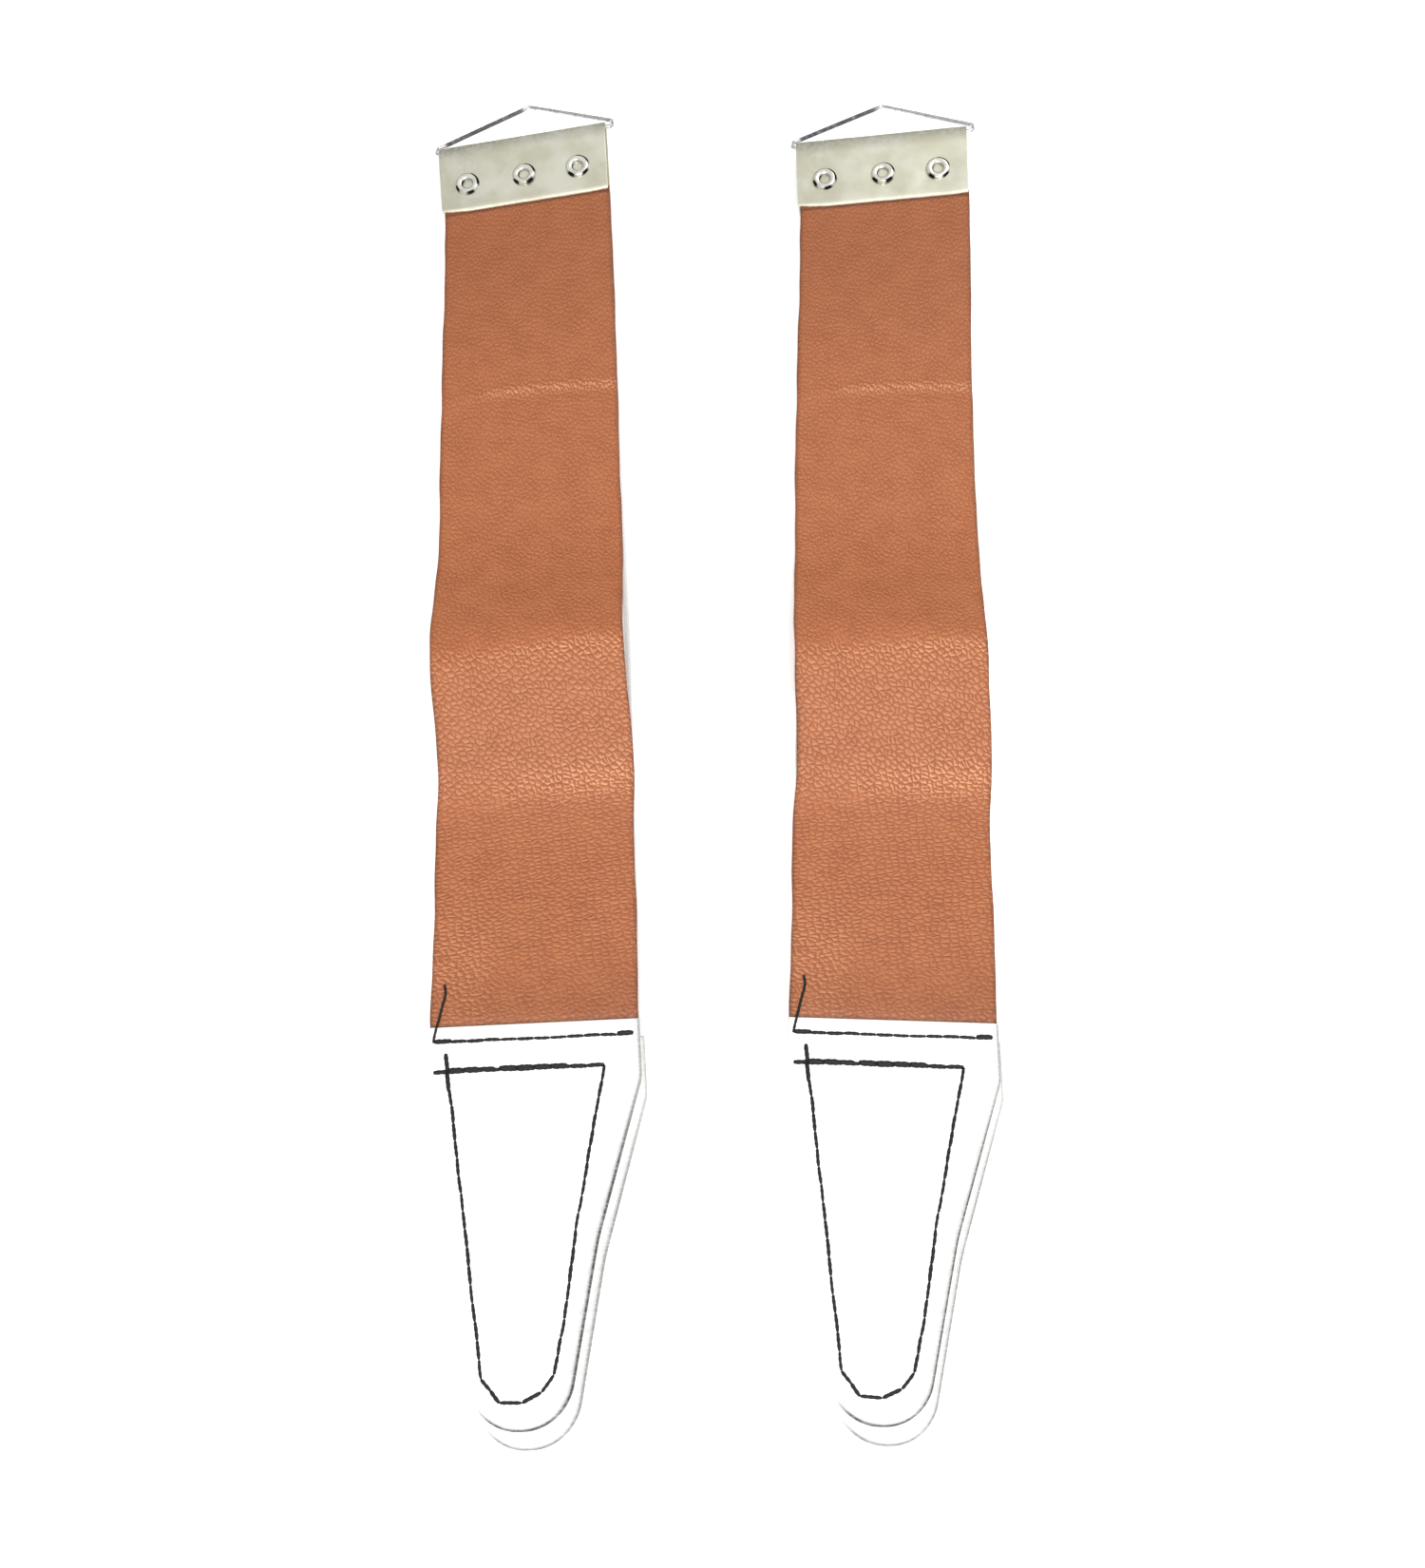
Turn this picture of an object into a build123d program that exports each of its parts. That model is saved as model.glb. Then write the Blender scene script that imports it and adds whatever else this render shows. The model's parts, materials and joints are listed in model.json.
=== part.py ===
from build123d import *

import math
import os
from itertools import pairwise

# A pair of hanging razor strops, lying side by side on a flat surface.
# Each strop is two straps, leather over canvas, held by one folded metal clamp with a
# wire hanger at the top, and each strap ends in its own sewn handle.
# Millimetres. A strop's own frame: X across the strap, Y along it with 0 at the clamp's
# lower edge and the handles at -Y, Z up from the surface.

# Straps
STRAP_WIDTH = 58.2
LEATHER_THICKNESS = 2.2
CANVAS_THICKNESS = 1.4
STRAP_GAP = 0.3
SURFACE_GAP = 0.05
# Where the straps bend: at the clamp, at two old creases and at the handle
CLAMP_HINGE_Y = -3.0
UPPER_CREASE_Y = -73.5
RIDGE_Y = -175.0
LEATHER_HANDLE_HINGE_Y = -284.0
CANVAS_HANDLE_HINGE_Y = -288.5
LEATHER_HINGE_REACH = 1.8
CANVAS_HINGE_REACH = 1.2
# The leather arches over the canvas between two points, highest at the ridge
HUMP_START_Y = -134.5
HUMP_END_Y = -221.0
HUMP_HEIGHT = 14.0
CANVAS_RISE_START_Y = -260.5
CANVAS_DRIFT = 0.24  # degrees, the canvas strap runs slightly to the right

# Clamp
CLAMP_WIDTH = 58.5
CLAMP_HEIGHT = 27.8
CLAMP_OFFSET_X = -0.4
SHEET_THICKNESS = 0.7
LOOP_RADIUS = 0.95
POCKET_DEPTH = 21.5
STRAP_END_DEPTH = 20.5
TONGUE_WIDTH = 56.0
CLAMP_ROLL = 9.0  # degrees, the right side lies higher
CLAMP_PITCH = 7.0  # degrees, the top end lies higher
CLAMP_YAW = 2.0  # degrees, the top end lies to the left
TWIST_MARGIN = 5.0  # length of untwisted strap at each end of the twisted stretch

# Rivets
RIVET_X = (-20.3, 0.0, 18.8)
RIVET_DROP = 17.2  # from the clamp's folded edge
RIVET_RING_RADIUS = 4.2
RIVET_HEAD_RADIUS = 3.3
RIVET_SHANK_RADIUS = 2.2
RIVET_BORE_RADIUS = 1.65
RIVET_HOLE_RADIUS = 2.25
RIVET_RING_HEIGHT = 1.1
RIVET_HEAD_HEIGHT = 0.8
RIVET_BORE_DEPTH = 0.9  # below the clamp's front face

# Hanger
WIRE_DIAMETER = 1.4
HANGER_HALF_WIDTH = 31.6
HANGER_RISE = 26.7
HANGER_ELBOW_RISE = 4.2
ELBOW_RADIUS = 1.2
APEX_RADIUS = 2.0
WIRE_BUTT_GAP = 0.4

# Handles: one outline, X from the strap's centre line, Y from the handle's top edge
PLY_THICKNESS = 1.8
HANDLE_GAP = 0.5
HANDLE_TOP_INSET = 4.0
HANDLE_OUTLINE = (
    (29.2, 0.0),
    (29.4, -16.5),
    (16.6, -59.0),
    (7.2, -105.9),
    (-16.1, -105.9),
    (-30.3, -12.5),
    (-29.2, 0.0),
)
HANDLE_CORNER_RADII = (8.0, 60.0, 13.4, 13.4, 8.0)
TONGUE_LENGTH = 9.5
LEATHER_TONGUE_THICKNESS = 1.2
CANVAS_TONGUE_THICKNESS = 1.0
TONGUE_CLEARANCE = 0.1

# Seams
THREAD_WIDTH = 0.8
THREAD_SINK = 0.4
CROSS_SEAM = ((-28.0, -4.3), (27.5, -4.3))
OUTLINE_SEAM = (
    (-24.0, -12.7),
    (19.3, -12.7),
    (10.5, -56.5),
    (7.2, -79.0),
    (4.3, -92.6),
    (1.0, -96.7),
    (-4.0, -99.0),
    (-9.8, -98.7),
    (-14.5, -92.8),
)
SEAM_OVERSHOOTS = (((-27.8, -12.9), (-24.0, -12.7)), ((-24.6, -7.6), (-24.0, -12.7)))
TAIL_THREAD_DIAMETER = 0.7
TAIL_BEND_RADIUS = 3.0
TAIL_POINTS = ((-25.7, 2.6), (-24.9, 4.8), (-25.2, 8.2))

# How the two strops lie
STROP_SPACING = 112.0
STROP_SPLAY = 2.3  # degrees, each strop's top end leans outwards
SPLAY_CENTRE_Y = -143.5

# Cutting shapes reach this far past what they cut
OVERCUT = 1.0

# Heights
CANVAS_Z = CANVAS_THICKNESS / 2 + SURFACE_GAP
LEATHER_Z = CANVAS_Z + (CANVAS_THICKNESS + LEATHER_THICKNESS) / 2 + STRAP_GAP
BACK_HANDLE_Z = PLY_THICKNESS
FRONT_HANDLE_Z = BACK_HANDLE_Z + 2 * PLY_THICKNESS + HANDLE_GAP
POCKET_THICKNESS = LEATHER_THICKNESS + STRAP_GAP + CANVAS_THICKNESS
CLAMPED_LEATHER_Z = (POCKET_THICKNESS - LEATHER_THICKNESS) / 2
CLAMPED_CANVAS_Z = (CANVAS_THICKNESS - POCKET_THICKNESS) / 2
PLATE_FACE_Z = POCKET_THICKNESS / 2 + SHEET_THICKNESS
LOOP_Y = CLAMP_HEIGHT - LOOP_RADIUS - SHEET_THICKNESS
LEATHER_HANDLE_Y = LEATHER_HANDLE_HINGE_Y - HANDLE_TOP_INSET
CANVAS_HANDLE_Y = CANVAS_HANDLE_HINGE_Y - HANDLE_TOP_INSET
CLAMP_LOW_X = CLAMP_WIDTH / 2 - CLAMP_OFFSET_X
ROLL, PITCH = math.radians(CLAMP_ROLL), math.radians(CLAMP_PITCH)
CLAMP_Z = CLAMP_LOW_X * math.sin(ROLL) + PLATE_FACE_Z * math.cos(ROLL) + SURFACE_GAP


def hanger_droop():
    """Degrees that the hanger hangs below the clamp's plane, its apex on the surface."""
    level = math.hypot(math.cos(ROLL) * math.cos(PITCH), math.sin(PITCH))
    lean = math.atan2(math.sin(PITCH), math.cos(ROLL) * math.cos(PITCH))
    fall = CLAMP_Z + LOOP_Y * math.sin(PITCH) - WIRE_DIAMETER / 2 - SURFACE_GAP
    return math.degrees(lean + math.asin(fall / HANGER_RISE / level))


FLAT_FRAME = Pos(0, 0, 0)
DRIFT_FRAME = Rot(0, 0, CANVAS_DRIFT)
CLAMP_TURN = Rot(0, 0, CLAMP_YAW) * Rot(CLAMP_PITCH, 0, 0) * Rot(0, -CLAMP_ROLL, 0)
CLAMP_FRAME = Pos(0, 0, CLAMP_Z) * CLAMP_TURN
HANGER_FRAME = CLAMP_FRAME * Pos(0, LOOP_Y, 0) * Rot(-hanger_droop(), 0, 0)


def strip(path, thickness, width=STRAP_WIDTH):
    """A strap of constant thickness about a path of (y, z) points, its ends rounded."""
    points = [Vector(*point) for point in path]
    runs = [(after - before).normalized() for before, after in pairwise(points)]
    upper, lower = [], []
    for index, point in enumerate(points):
        run = runs[min(index, len(runs) - 1)]
        mean = (runs[max(index - 1, 0)] + run).normalized()
        reach = Vector(-mean.Y, mean.X) * (thickness / 2 / mean.dot(run))
        upper.append(point + reach)
        lower.append(point - reach)
    start_tip = points[0] - runs[0] * (thickness / 2)
    end_tip = points[-1] + runs[-1] * (thickness / 2)
    outline = [
        Polyline(*upper),
        ThreePointArc(upper[-1], end_tip, lower[-1]),
        Polyline(*reversed(lower)),
        ThreePointArc(lower[0], start_tip, upper[0]),
    ]
    return extrude(Plane.YZ * make_face(outline), amount=width / 2, both=True)


def slab(y_from, y_to, z, thickness, width):
    """A plain block of strap centred on height z."""
    return Pos(0, (y_from + y_to) / 2, z) * Box(width, abs(y_to - y_from), thickness)


def twisted_strap(thickness, clamped_z, hinge_reach, flat_frame, flat_z):
    """The stretch from the clamp to the upper crease, which turns from rolled to flat."""
    start_y = CLAMP_HINGE_Y - hinge_reach
    end_y = UPPER_CREASE_Y + hinge_reach
    start_path = ((start_y, clamped_z), (start_y - TWIST_MARGIN, clamped_z))
    end_path = ((end_y + TWIST_MARGIN, flat_z), (end_y, flat_z))
    section = Plane.XZ * Rectangle(STRAP_WIDTH, thickness)
    start_section = CLAMP_FRAME * Pos(0, start_y - TWIST_MARGIN / 2, clamped_z) * section
    end_section = flat_frame * Pos(0, end_y + TWIST_MARGIN / 2, flat_z) * section
    twist = loft([start_section.face(), end_section.face()], ruled=True)
    start_stub = square_end(start_path, thickness)
    end_stub = square_end(tuple(reversed(end_path)), thickness)
    return CLAMP_FRAME * start_stub + twist + flat_frame * end_stub


def square_end(path, thickness):
    """A short stub of strap, rounded where the path starts and cut square half way."""
    (start_y, z), (end_y, _) = path
    middle_y = (start_y + end_y) / 2
    beyond_y = end_y + math.copysign(thickness, end_y - start_y)
    if start_y > end_y:
        stub = strip(((end_y, z), (start_y, z)), thickness)
    else:
        stub = strip(path, thickness)
    return stub - slab(middle_y, beyond_y, z, 2 * thickness, 2 * STRAP_WIDTH)


def rivet_holes():
    """Three drills through the whole clamp, in the clamp's frame."""
    drill = Cylinder(RIVET_HOLE_RADIUS, 2 * (PLATE_FACE_Z + OVERCUT))
    return Part() + [Pos(x, CLAMP_HEIGHT - RIVET_DROP, 0) * drill for x in RIVET_X]


def clamp():
    """One sheet folded round the hanger's bar, its two plates over the straps' ends."""

    def outline(grow, bottom_y):
        loop = Pos(LOOP_Y, 0) * Circle(LOOP_RADIUS + grow)
        pocket_middle = Pos((bottom_y + POCKET_DEPTH) / 2, 0)
        pocket = pocket_middle * Rectangle(POCKET_DEPTH - bottom_y, POCKET_THICKNESS + 2 * grow)
        return make_hull(loop.edges() + pocket.edges())

    section = outline(SHEET_THICKNESS, 0.0) - outline(0.0, -OVERCUT)
    sheet = extrude(Plane.YZ * section, amount=CLAMP_WIDTH / 2, both=True)
    return Pos(CLAMP_OFFSET_X, 0, 0) * sheet - rivet_holes()


def rivet():
    """A rivet about Z: a rolled ring round a blind bore in front, a low domed head behind."""
    bore_floor = PLATE_FACE_Z - RIVET_BORE_DEPTH
    ring_crown = ((RIVET_BORE_RADIUS + RIVET_RING_RADIUS) / 2, PLATE_FACE_Z + RIVET_RING_HEIGHT)
    ring_lip = (RIVET_BORE_RADIUS, PLATE_FACE_Z)
    ring_rim = (RIVET_RING_RADIUS, PLATE_FACE_Z)
    shank_front = (RIVET_SHANK_RADIUS, PLATE_FACE_Z)
    shank_back = (RIVET_SHANK_RADIUS, -PLATE_FACE_Z)
    head_rim = (RIVET_HEAD_RADIUS, -PLATE_FACE_Z)
    head_crown = (0, -PLATE_FACE_Z - RIVET_HEAD_HEIGHT)
    dome_radius = (RIVET_HEAD_RADIUS**2 + RIVET_HEAD_HEIGHT**2) / (2 * RIVET_HEAD_HEIGHT)
    outline = [
        Polyline((0, bore_floor), (RIVET_BORE_RADIUS, bore_floor), ring_lip),
        ThreePointArc(ring_lip, ring_crown, ring_rim),
        Polyline(ring_rim, shank_front, shank_back, head_rim),
        RadiusArc(head_rim, head_crown, dome_radius),
        Line(head_crown, (0, bore_floor)),
    ]
    return revolve(Plane.XZ * make_face(outline), Axis.Z)


def hanger():
    """One bent wire: a bar through the clamp's loop, two elbows and two legs."""
    path = FilletPolyline(
        (WIRE_BUTT_GAP / 2, 0),
        (HANGER_HALF_WIDTH, 0),
        (HANGER_HALF_WIDTH, HANGER_ELBOW_RISE),
        (0, HANGER_RISE),
        (-HANGER_HALF_WIDTH, HANGER_ELBOW_RISE),
        (-HANGER_HALF_WIDTH, 0),
        (-WIRE_BUTT_GAP / 2, 0),
        radius=(ELBOW_RADIUS, ELBOW_RADIUS, APEX_RADIUS, ELBOW_RADIUS, ELBOW_RADIUS),
    )
    section = Plane(path @ 0, z_dir=path % 0) * Circle(WIRE_DIAMETER / 2)
    return sweep(section, path=path)


def clamped_end(thickness, z, hinge_reach):
    """The end of a strap between the clamp's plates, with its three rivet holes."""
    stub_y = CLAMP_HINGE_Y + hinge_reach
    stub = strip(((stub_y, z), (0.0, z)), thickness)
    tongue = slab(stub_y, STRAP_END_DEPTH, z, thickness, TONGUE_WIDTH)
    return stub + Pos(CLAMP_OFFSET_X, 0, 0) * tongue - rivet_holes()


def handle_end(thickness, tongue_thickness, hinge_y, hinge_reach, z):
    """The end of a strap sewn into its handle: a stub and a thinner, narrower tongue."""
    top_y = hinge_y - HANDLE_TOP_INSET
    stub_end_y = top_y + thickness / 2 + TONGUE_CLEARANCE
    stub = strip(((stub_end_y, z), (hinge_y - hinge_reach, z)), thickness)
    tongue_end_y = top_y - TONGUE_LENGTH
    tongue = slab(stub_end_y, tongue_end_y, z, tongue_thickness, TONGUE_WIDTH)
    return stub + tongue


def thread_line(points):
    """A seam's thread seen from above: a band about a line of two points."""
    start, end = Vector(*points[0]), Vector(*points[1])
    middle = (start + end) / 2
    angle = math.degrees(math.atan2(end.Y - start.Y, end.X - start.X))
    return Pos(middle.X, middle.Y) * Rot(0, 0, angle) * Rectangle((end - start).length, THREAD_WIDTH)


def outline_thread():
    """The closed seam round the handle, with the ends that overshoot its first corner."""
    loop = make_face(Polyline(*OUTLINE_SEAM, close=True))
    outer = offset(loop, THREAD_WIDTH / 2, kind=Kind.INTERSECTION)
    inner = offset(loop, -THREAD_WIDTH / 2, kind=Kind.INTERSECTION)
    thread = outer - inner
    for overshoot in SEAM_OVERSHOOTS:
        thread += thread_line(overshoot)
    return thread


def handle(frame, top_y, z, tongue_thickness):
    """A handle's two plies and its threads, the plies meeting at height z."""
    corners = FilletPolyline(*HANDLE_OUTLINE, radius=HANDLE_CORNER_RADII)
    outline = make_face([corners, Line(HANDLE_OUTLINE[-1], HANDLE_OUTLINE[0])])
    ply = extrude(outline, PLY_THICKNESS)
    pocket_length = TONGUE_LENGTH + TONGUE_CLEARANCE
    pocket = slab(OVERCUT, -pocket_length, 0, tongue_thickness, TONGUE_WIDTH + 2 * TONGUE_CLEARANCE)
    place = frame * Pos(0, top_y, z)
    seams = {
        "cross_seam": Sketch() + thread_line(CROSS_SEAM),
        "outline_seam": outline_thread(),
    }
    top_ply, bottom_ply = ply - pocket, Pos(0, 0, -PLY_THICKNESS) * ply - pocket
    nodes = {}
    for name, seam in seams.items():
        thread = extrude(seam, THREAD_SINK)
        upper = Pos(0, 0, PLY_THICKNESS - THREAD_SINK) * thread
        lower = Pos(0, 0, -PLY_THICKNESS) * thread
        top_ply -= upper
        bottom_ply -= lower
        nodes[name] = place * Compound(children=[upper.solid(), lower.solid()])
    nodes["top_ply"] = place * top_ply
    nodes["bottom_ply"] = place * bottom_ply
    return nodes


def thread_tail():
    """The loose end of the front cross seam's thread, lying on the leather."""
    rise = math.atan2(FRONT_HANDLE_Z - LEATHER_Z, HUMP_END_Y - LEATHER_HANDLE_HINGE_Y)
    height = (LEATHER_THICKNESS + TAIL_THREAD_DIAMETER) / 2 + SURFACE_GAP
    frame = Pos(0, LEATHER_HANDLE_HINGE_Y, FRONT_HANDLE_Z) * Rot(-math.degrees(rise), 0, 0)
    path = FilletPolyline(*TAIL_POINTS, radius=TAIL_BEND_RADIUS)
    section = Plane(path @ 0, z_dir=path % 0) * Circle(TAIL_THREAD_DIAMETER / 2)
    return frame * Pos(0, 0, height) * sweep(section, path=path)


def toward(start, end, reach):
    """The point that lies reach along the line from start to end."""
    run = (Vector(*end) - Vector(*start)).normalized()
    point = Vector(*start) + run * reach
    return (point.X, point.Y)


def leather_runs():
    """The leather's three stretches beyond the clamp."""
    crease = (UPPER_CREASE_Y, LEATHER_Z)
    hump_start = (HUMP_START_Y, LEATHER_Z)
    ridge = (RIDGE_Y, LEATHER_Z + HUMP_HEIGHT)
    hump_end = (HUMP_END_Y, LEATHER_Z)
    handle_hinge = (LEATHER_HANDLE_HINGE_Y, FRONT_HANDLE_Z)
    reach = LEATHER_HINGE_REACH
    middle = (toward(ridge, hump_start, reach), hump_start, toward(crease, hump_start, reach))
    lower = (toward(handle_hinge, hump_end, reach), hump_end, toward(ridge, hump_end, reach))
    return {
        "leather_upper": twisted_strap(
            LEATHER_THICKNESS, CLAMPED_LEATHER_Z, reach, FLAT_FRAME, LEATHER_Z
        ),
        "leather_middle": strip(middle, LEATHER_THICKNESS),
        "leather_lower": strip(lower, LEATHER_THICKNESS),
    }


def canvas_runs():
    """The canvas strap's three stretches beyond the clamp."""
    reach = CANVAS_HINGE_REACH
    middle = ((RIDGE_Y + reach, CANVAS_Z), (UPPER_CREASE_Y - reach, CANVAS_Z))
    rise_start = (CANVAS_RISE_START_Y, CANVAS_Z)
    handle_hinge = (CANVAS_HANDLE_HINGE_Y, BACK_HANDLE_Z)
    lower = (toward(handle_hinge, rise_start, reach), rise_start, (RIDGE_Y - reach, CANVAS_Z))
    return {
        "canvas_upper": twisted_strap(
            CANVAS_THICKNESS, CLAMPED_CANVAS_Z, reach, DRIFT_FRAME, CANVAS_Z
        ),
        "canvas_middle": DRIFT_FRAME * strip(middle, CANVAS_THICKNESS),
        "canvas_lower": DRIFT_FRAME * strip(lower, CANVAS_THICKNESS),
    }


def clamp_assembly():
    """The clamp, its rivets, the straps' ends inside it and the hanger."""
    rivets = [Pos(x, CLAMP_HEIGHT - RIVET_DROP, 0) * rivet() for x in RIVET_X]
    return {
        "clamp": CLAMP_FRAME * clamp(),
        "clamp_rivets": CLAMP_FRAME * Compound(children=[piece.solid() for piece in rivets]),
        "leather_clamped_end": CLAMP_FRAME
        * clamped_end(LEATHER_THICKNESS, CLAMPED_LEATHER_Z, LEATHER_HINGE_REACH),
        "canvas_clamped_end": CLAMP_FRAME
        * clamped_end(CANVAS_THICKNESS, CLAMPED_CANVAS_Z, CANVAS_HINGE_REACH),
        "hanger": HANGER_FRAME * hanger(),
    }


def strop():
    """Every node of one strop, in the strop's own frame."""
    nodes = {**clamp_assembly(), **leather_runs(), **canvas_runs()}
    nodes["leather_handle_end"] = handle_end(
        LEATHER_THICKNESS,
        LEATHER_TONGUE_THICKNESS,
        LEATHER_HANDLE_HINGE_Y,
        LEATHER_HINGE_REACH,
        FRONT_HANDLE_Z,
    )
    nodes["canvas_handle_end"] = DRIFT_FRAME * handle_end(
        CANVAS_THICKNESS,
        CANVAS_TONGUE_THICKNESS,
        CANVAS_HANDLE_HINGE_Y,
        CANVAS_HINGE_REACH,
        BACK_HANDLE_Z,
    )
    front = handle(FLAT_FRAME, LEATHER_HANDLE_Y, FRONT_HANDLE_Z, LEATHER_TONGUE_THICKNESS)
    back = handle(DRIFT_FRAME, CANVAS_HANDLE_Y, BACK_HANDLE_Z, CANVAS_TONGUE_THICKNESS)
    nodes.update({f"front_handle_{name}": shape for name, shape in front.items()})
    nodes.update({f"back_handle_{name}": shape for name, shape in back.items()})
    nodes["seam_thread_tail"] = thread_tail()
    return nodes


def strop_place(side):
    """Where a strop lies: side is -1 for the left one and 1 for the right one."""
    turned = Rot(0, 0, -side * STROP_SPLAY) * Pos(0, -SPLAY_CENTRE_Y, 0)
    return Pos(side * STROP_SPACING / 2, 0, 0) * turned


def build():
    """Both strops' nodes, and the shift that puts the base's centre at the origin."""
    nodes = {}
    for prefix, side in (("left", -1), ("right", 1)):
        for name, shape in strop().items():
            nodes[f"{prefix}_{name}"] = strop_place(side) * shape
    box = Compound(children=[Compound(shape.solids()) for shape in nodes.values()]).bounding_box()
    shift = Pos(-box.center().X, -box.center().Y, -box.min.Z)
    return nodes, shift


def main():
    os.makedirs("parts", exist_ok=True)
    nodes, shift = build()
    for name, shape in nodes.items():
        export_step(shift * shape, f"parts/{name}.step")


if __name__ == "__main__":
    main()
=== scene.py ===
import json
import math
import random

import bmesh
import bpy
import numpy as np
from mathutils import Matrix, Vector, noise
from mathutils.geometry import delaunay_2d_cdt


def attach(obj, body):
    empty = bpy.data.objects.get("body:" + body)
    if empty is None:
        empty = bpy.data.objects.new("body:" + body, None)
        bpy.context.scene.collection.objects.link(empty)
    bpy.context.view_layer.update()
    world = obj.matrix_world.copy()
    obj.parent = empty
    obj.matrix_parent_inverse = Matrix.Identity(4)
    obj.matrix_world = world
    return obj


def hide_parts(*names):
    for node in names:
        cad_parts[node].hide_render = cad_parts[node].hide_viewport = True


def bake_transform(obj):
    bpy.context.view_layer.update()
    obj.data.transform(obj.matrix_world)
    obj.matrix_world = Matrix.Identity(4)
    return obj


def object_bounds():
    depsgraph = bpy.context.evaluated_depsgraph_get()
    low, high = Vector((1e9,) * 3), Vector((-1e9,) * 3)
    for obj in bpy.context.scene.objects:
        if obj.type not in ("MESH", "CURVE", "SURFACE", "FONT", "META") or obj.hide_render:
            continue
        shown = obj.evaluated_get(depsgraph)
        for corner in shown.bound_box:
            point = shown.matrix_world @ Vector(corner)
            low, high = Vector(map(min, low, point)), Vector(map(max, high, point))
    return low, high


# A pair of hanging razor strops on a pale floor. Each strop is a leather strap over a
# canvas strap, held by a folded metal clamp on a wire hanger, with two sewn handles.
# Shapes are worked out in millimetres in each strop's own frame: u across the strap,
# v along it with 0 at the clamp's lower edge and the handles at -v, z up.

MM = 0.001

# Straps
HALF_WIDTH = 29.1
CLAMPED_EDGES = (-28.4, 27.6)
TONGUE_HALF_WIDTH = 28.0
SHOULDER_V = 1.6  # the strap is cut narrower from here up, inside the clamp
STRAP_TOP_V = 20.5
LEATHER_THICKNESS = 2.2
LEATHER_TONGUE_THICKNESS = 1.2
LEATHER_BOTTOM_V = -297.5
CANVAS_THICKNESS = 1.4
CANVAS_TONGUE_THICKNESS = 1.0
CANVAS_BOTTOM_V = -302.0
TWIST_TOP = (-6.7, 2.2)  # where the strap leaves the clamp's plane, and the reach of that bend
TWIST_BOTTOM = (-65.5, 8.0)  # where it comes to lie flat
HUMP_START_V = -134.5
HUMP_END_V = -221.0
RIDGE_LEAN = 2.5  # the ridge lies this much further up at the right edge than in the middle
CANVAS_RISE_V = -260.5
THINNING = 2.2  # the stretch above the handle over which a strap gets thinner
SECTION_STEP = 1.0
COLUMNS = 54

# Stretches of strap that bend at each joint, measured from its axis along the strap
CLAMP_BEND = (2.7, -2.7)
FOLD_BEND = (2.5, -13.0)
LEATHER_HANDLE_BEND = (3.5, -3.5)
CANVAS_HANDLE_BEND = (3.0, -3.4)

# Clamp, rivets and hanger
LOOP_V = 26.15
LOOP_RADIUS = 0.95
SHEET = 0.7
CLAMP_HALF_WIDTH = 29.25
CLAMP_OFFSET = -0.4
FOLD_FLARE = 0.5  # the sheet is this much wider at each side of its fold
POCKET_DEPTH = 21.5
POCKET_HALF = 1.95
RIVET_X = (-20.3, 0.0, 18.8)
RIVET_V = 10.6
WIRE_RADIUS = 0.7
HANGER_PATH = ((0.2, 0), (31.6, 0), (31.6, 4.2), (0, 26.7), (-31.6, 4.2), (-31.6, 0), (-0.2, 0))
HANGER_RADII = (1.2, 1.2, 2.0, 1.2, 1.2)

# Handles, measured from the middle of their top edge
HANDLE_INSET = 4.0
PLY = 1.8
HANDLE_OUTLINE = (
    (29.2, 0), (29.4, -16.5), (16.6, -59), (7.2, -105.9), (-16.1, -105.9), (-30.3, -12.5), (-29.2, 0),
)
HANDLE_RADII = (8.0, 60.0, 13.4, 13.4, 8.0)
POCKET_V = -9.6
OUTLINE_SEAM = (
    (-24, -12.7), (19.3, -12.7), (10.5, -56.5), (7.2, -79), (4.3, -92.6),
    (1, -96.7), (-4, -99), (-9.8, -98.7), (-14.5, -92.8),
)
SEAM_SIDES = list(zip(OUTLINE_SEAM, OUTLINE_SEAM[1:] + OUTLINE_SEAM[:1]))
CROSS_SIDE = ((-28.0, -4.3), (27.5, -4.3))
SEWN_SIDES = [*SEAM_SIDES, CROSS_SIDE]
OVERSHOOTS = (((-27.8, -12.9), (-24.0, -12.7)), ((-24.6, -7.6), (-24.0, -12.7)))
POCKET_HALF_WIDTH = TONGUE_HALF_WIDTH + 0.2
POCKET_GAP = 0.63  # how far each ply stands off the middle where the strap's end goes in
STITCH = 4.7
THREAD_RADIUS = 0.48
TAIL_RADIUS = 0.36

# Stage: where the camera looks, measured from the middle of the whole object, and from
# where, in metres and degrees; and the floor, in millimetres
AIM = (0.0009, -0.0437)
AIM_HEIGHT = 0.010
AZIMUTH = -1.38
ELEVATION = 67.955
ROLL = 0.91
DISTANCE = 0.4752
LENS = 37.09
FLOOR_HALF = 12000.0
FLOOR_Z = -0.15  # just below the cloth, so that neither shows through the other

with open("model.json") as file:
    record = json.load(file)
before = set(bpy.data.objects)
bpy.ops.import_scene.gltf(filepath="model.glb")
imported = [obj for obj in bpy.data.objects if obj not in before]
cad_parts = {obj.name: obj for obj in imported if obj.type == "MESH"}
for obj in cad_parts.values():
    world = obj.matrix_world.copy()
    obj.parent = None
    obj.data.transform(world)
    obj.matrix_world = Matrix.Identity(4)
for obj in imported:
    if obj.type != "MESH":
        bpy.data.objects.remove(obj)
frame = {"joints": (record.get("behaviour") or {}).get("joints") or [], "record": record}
cad_bounds = [list(corner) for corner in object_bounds()]
JOINTS = {joint["name"]: joint for joint in frame["joints"]}
MOUNTS = {mount["name"]: mount for mount in frame["record"]["mounts"]}


# ---------------------------------------------------------------- frames and helpers


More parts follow.
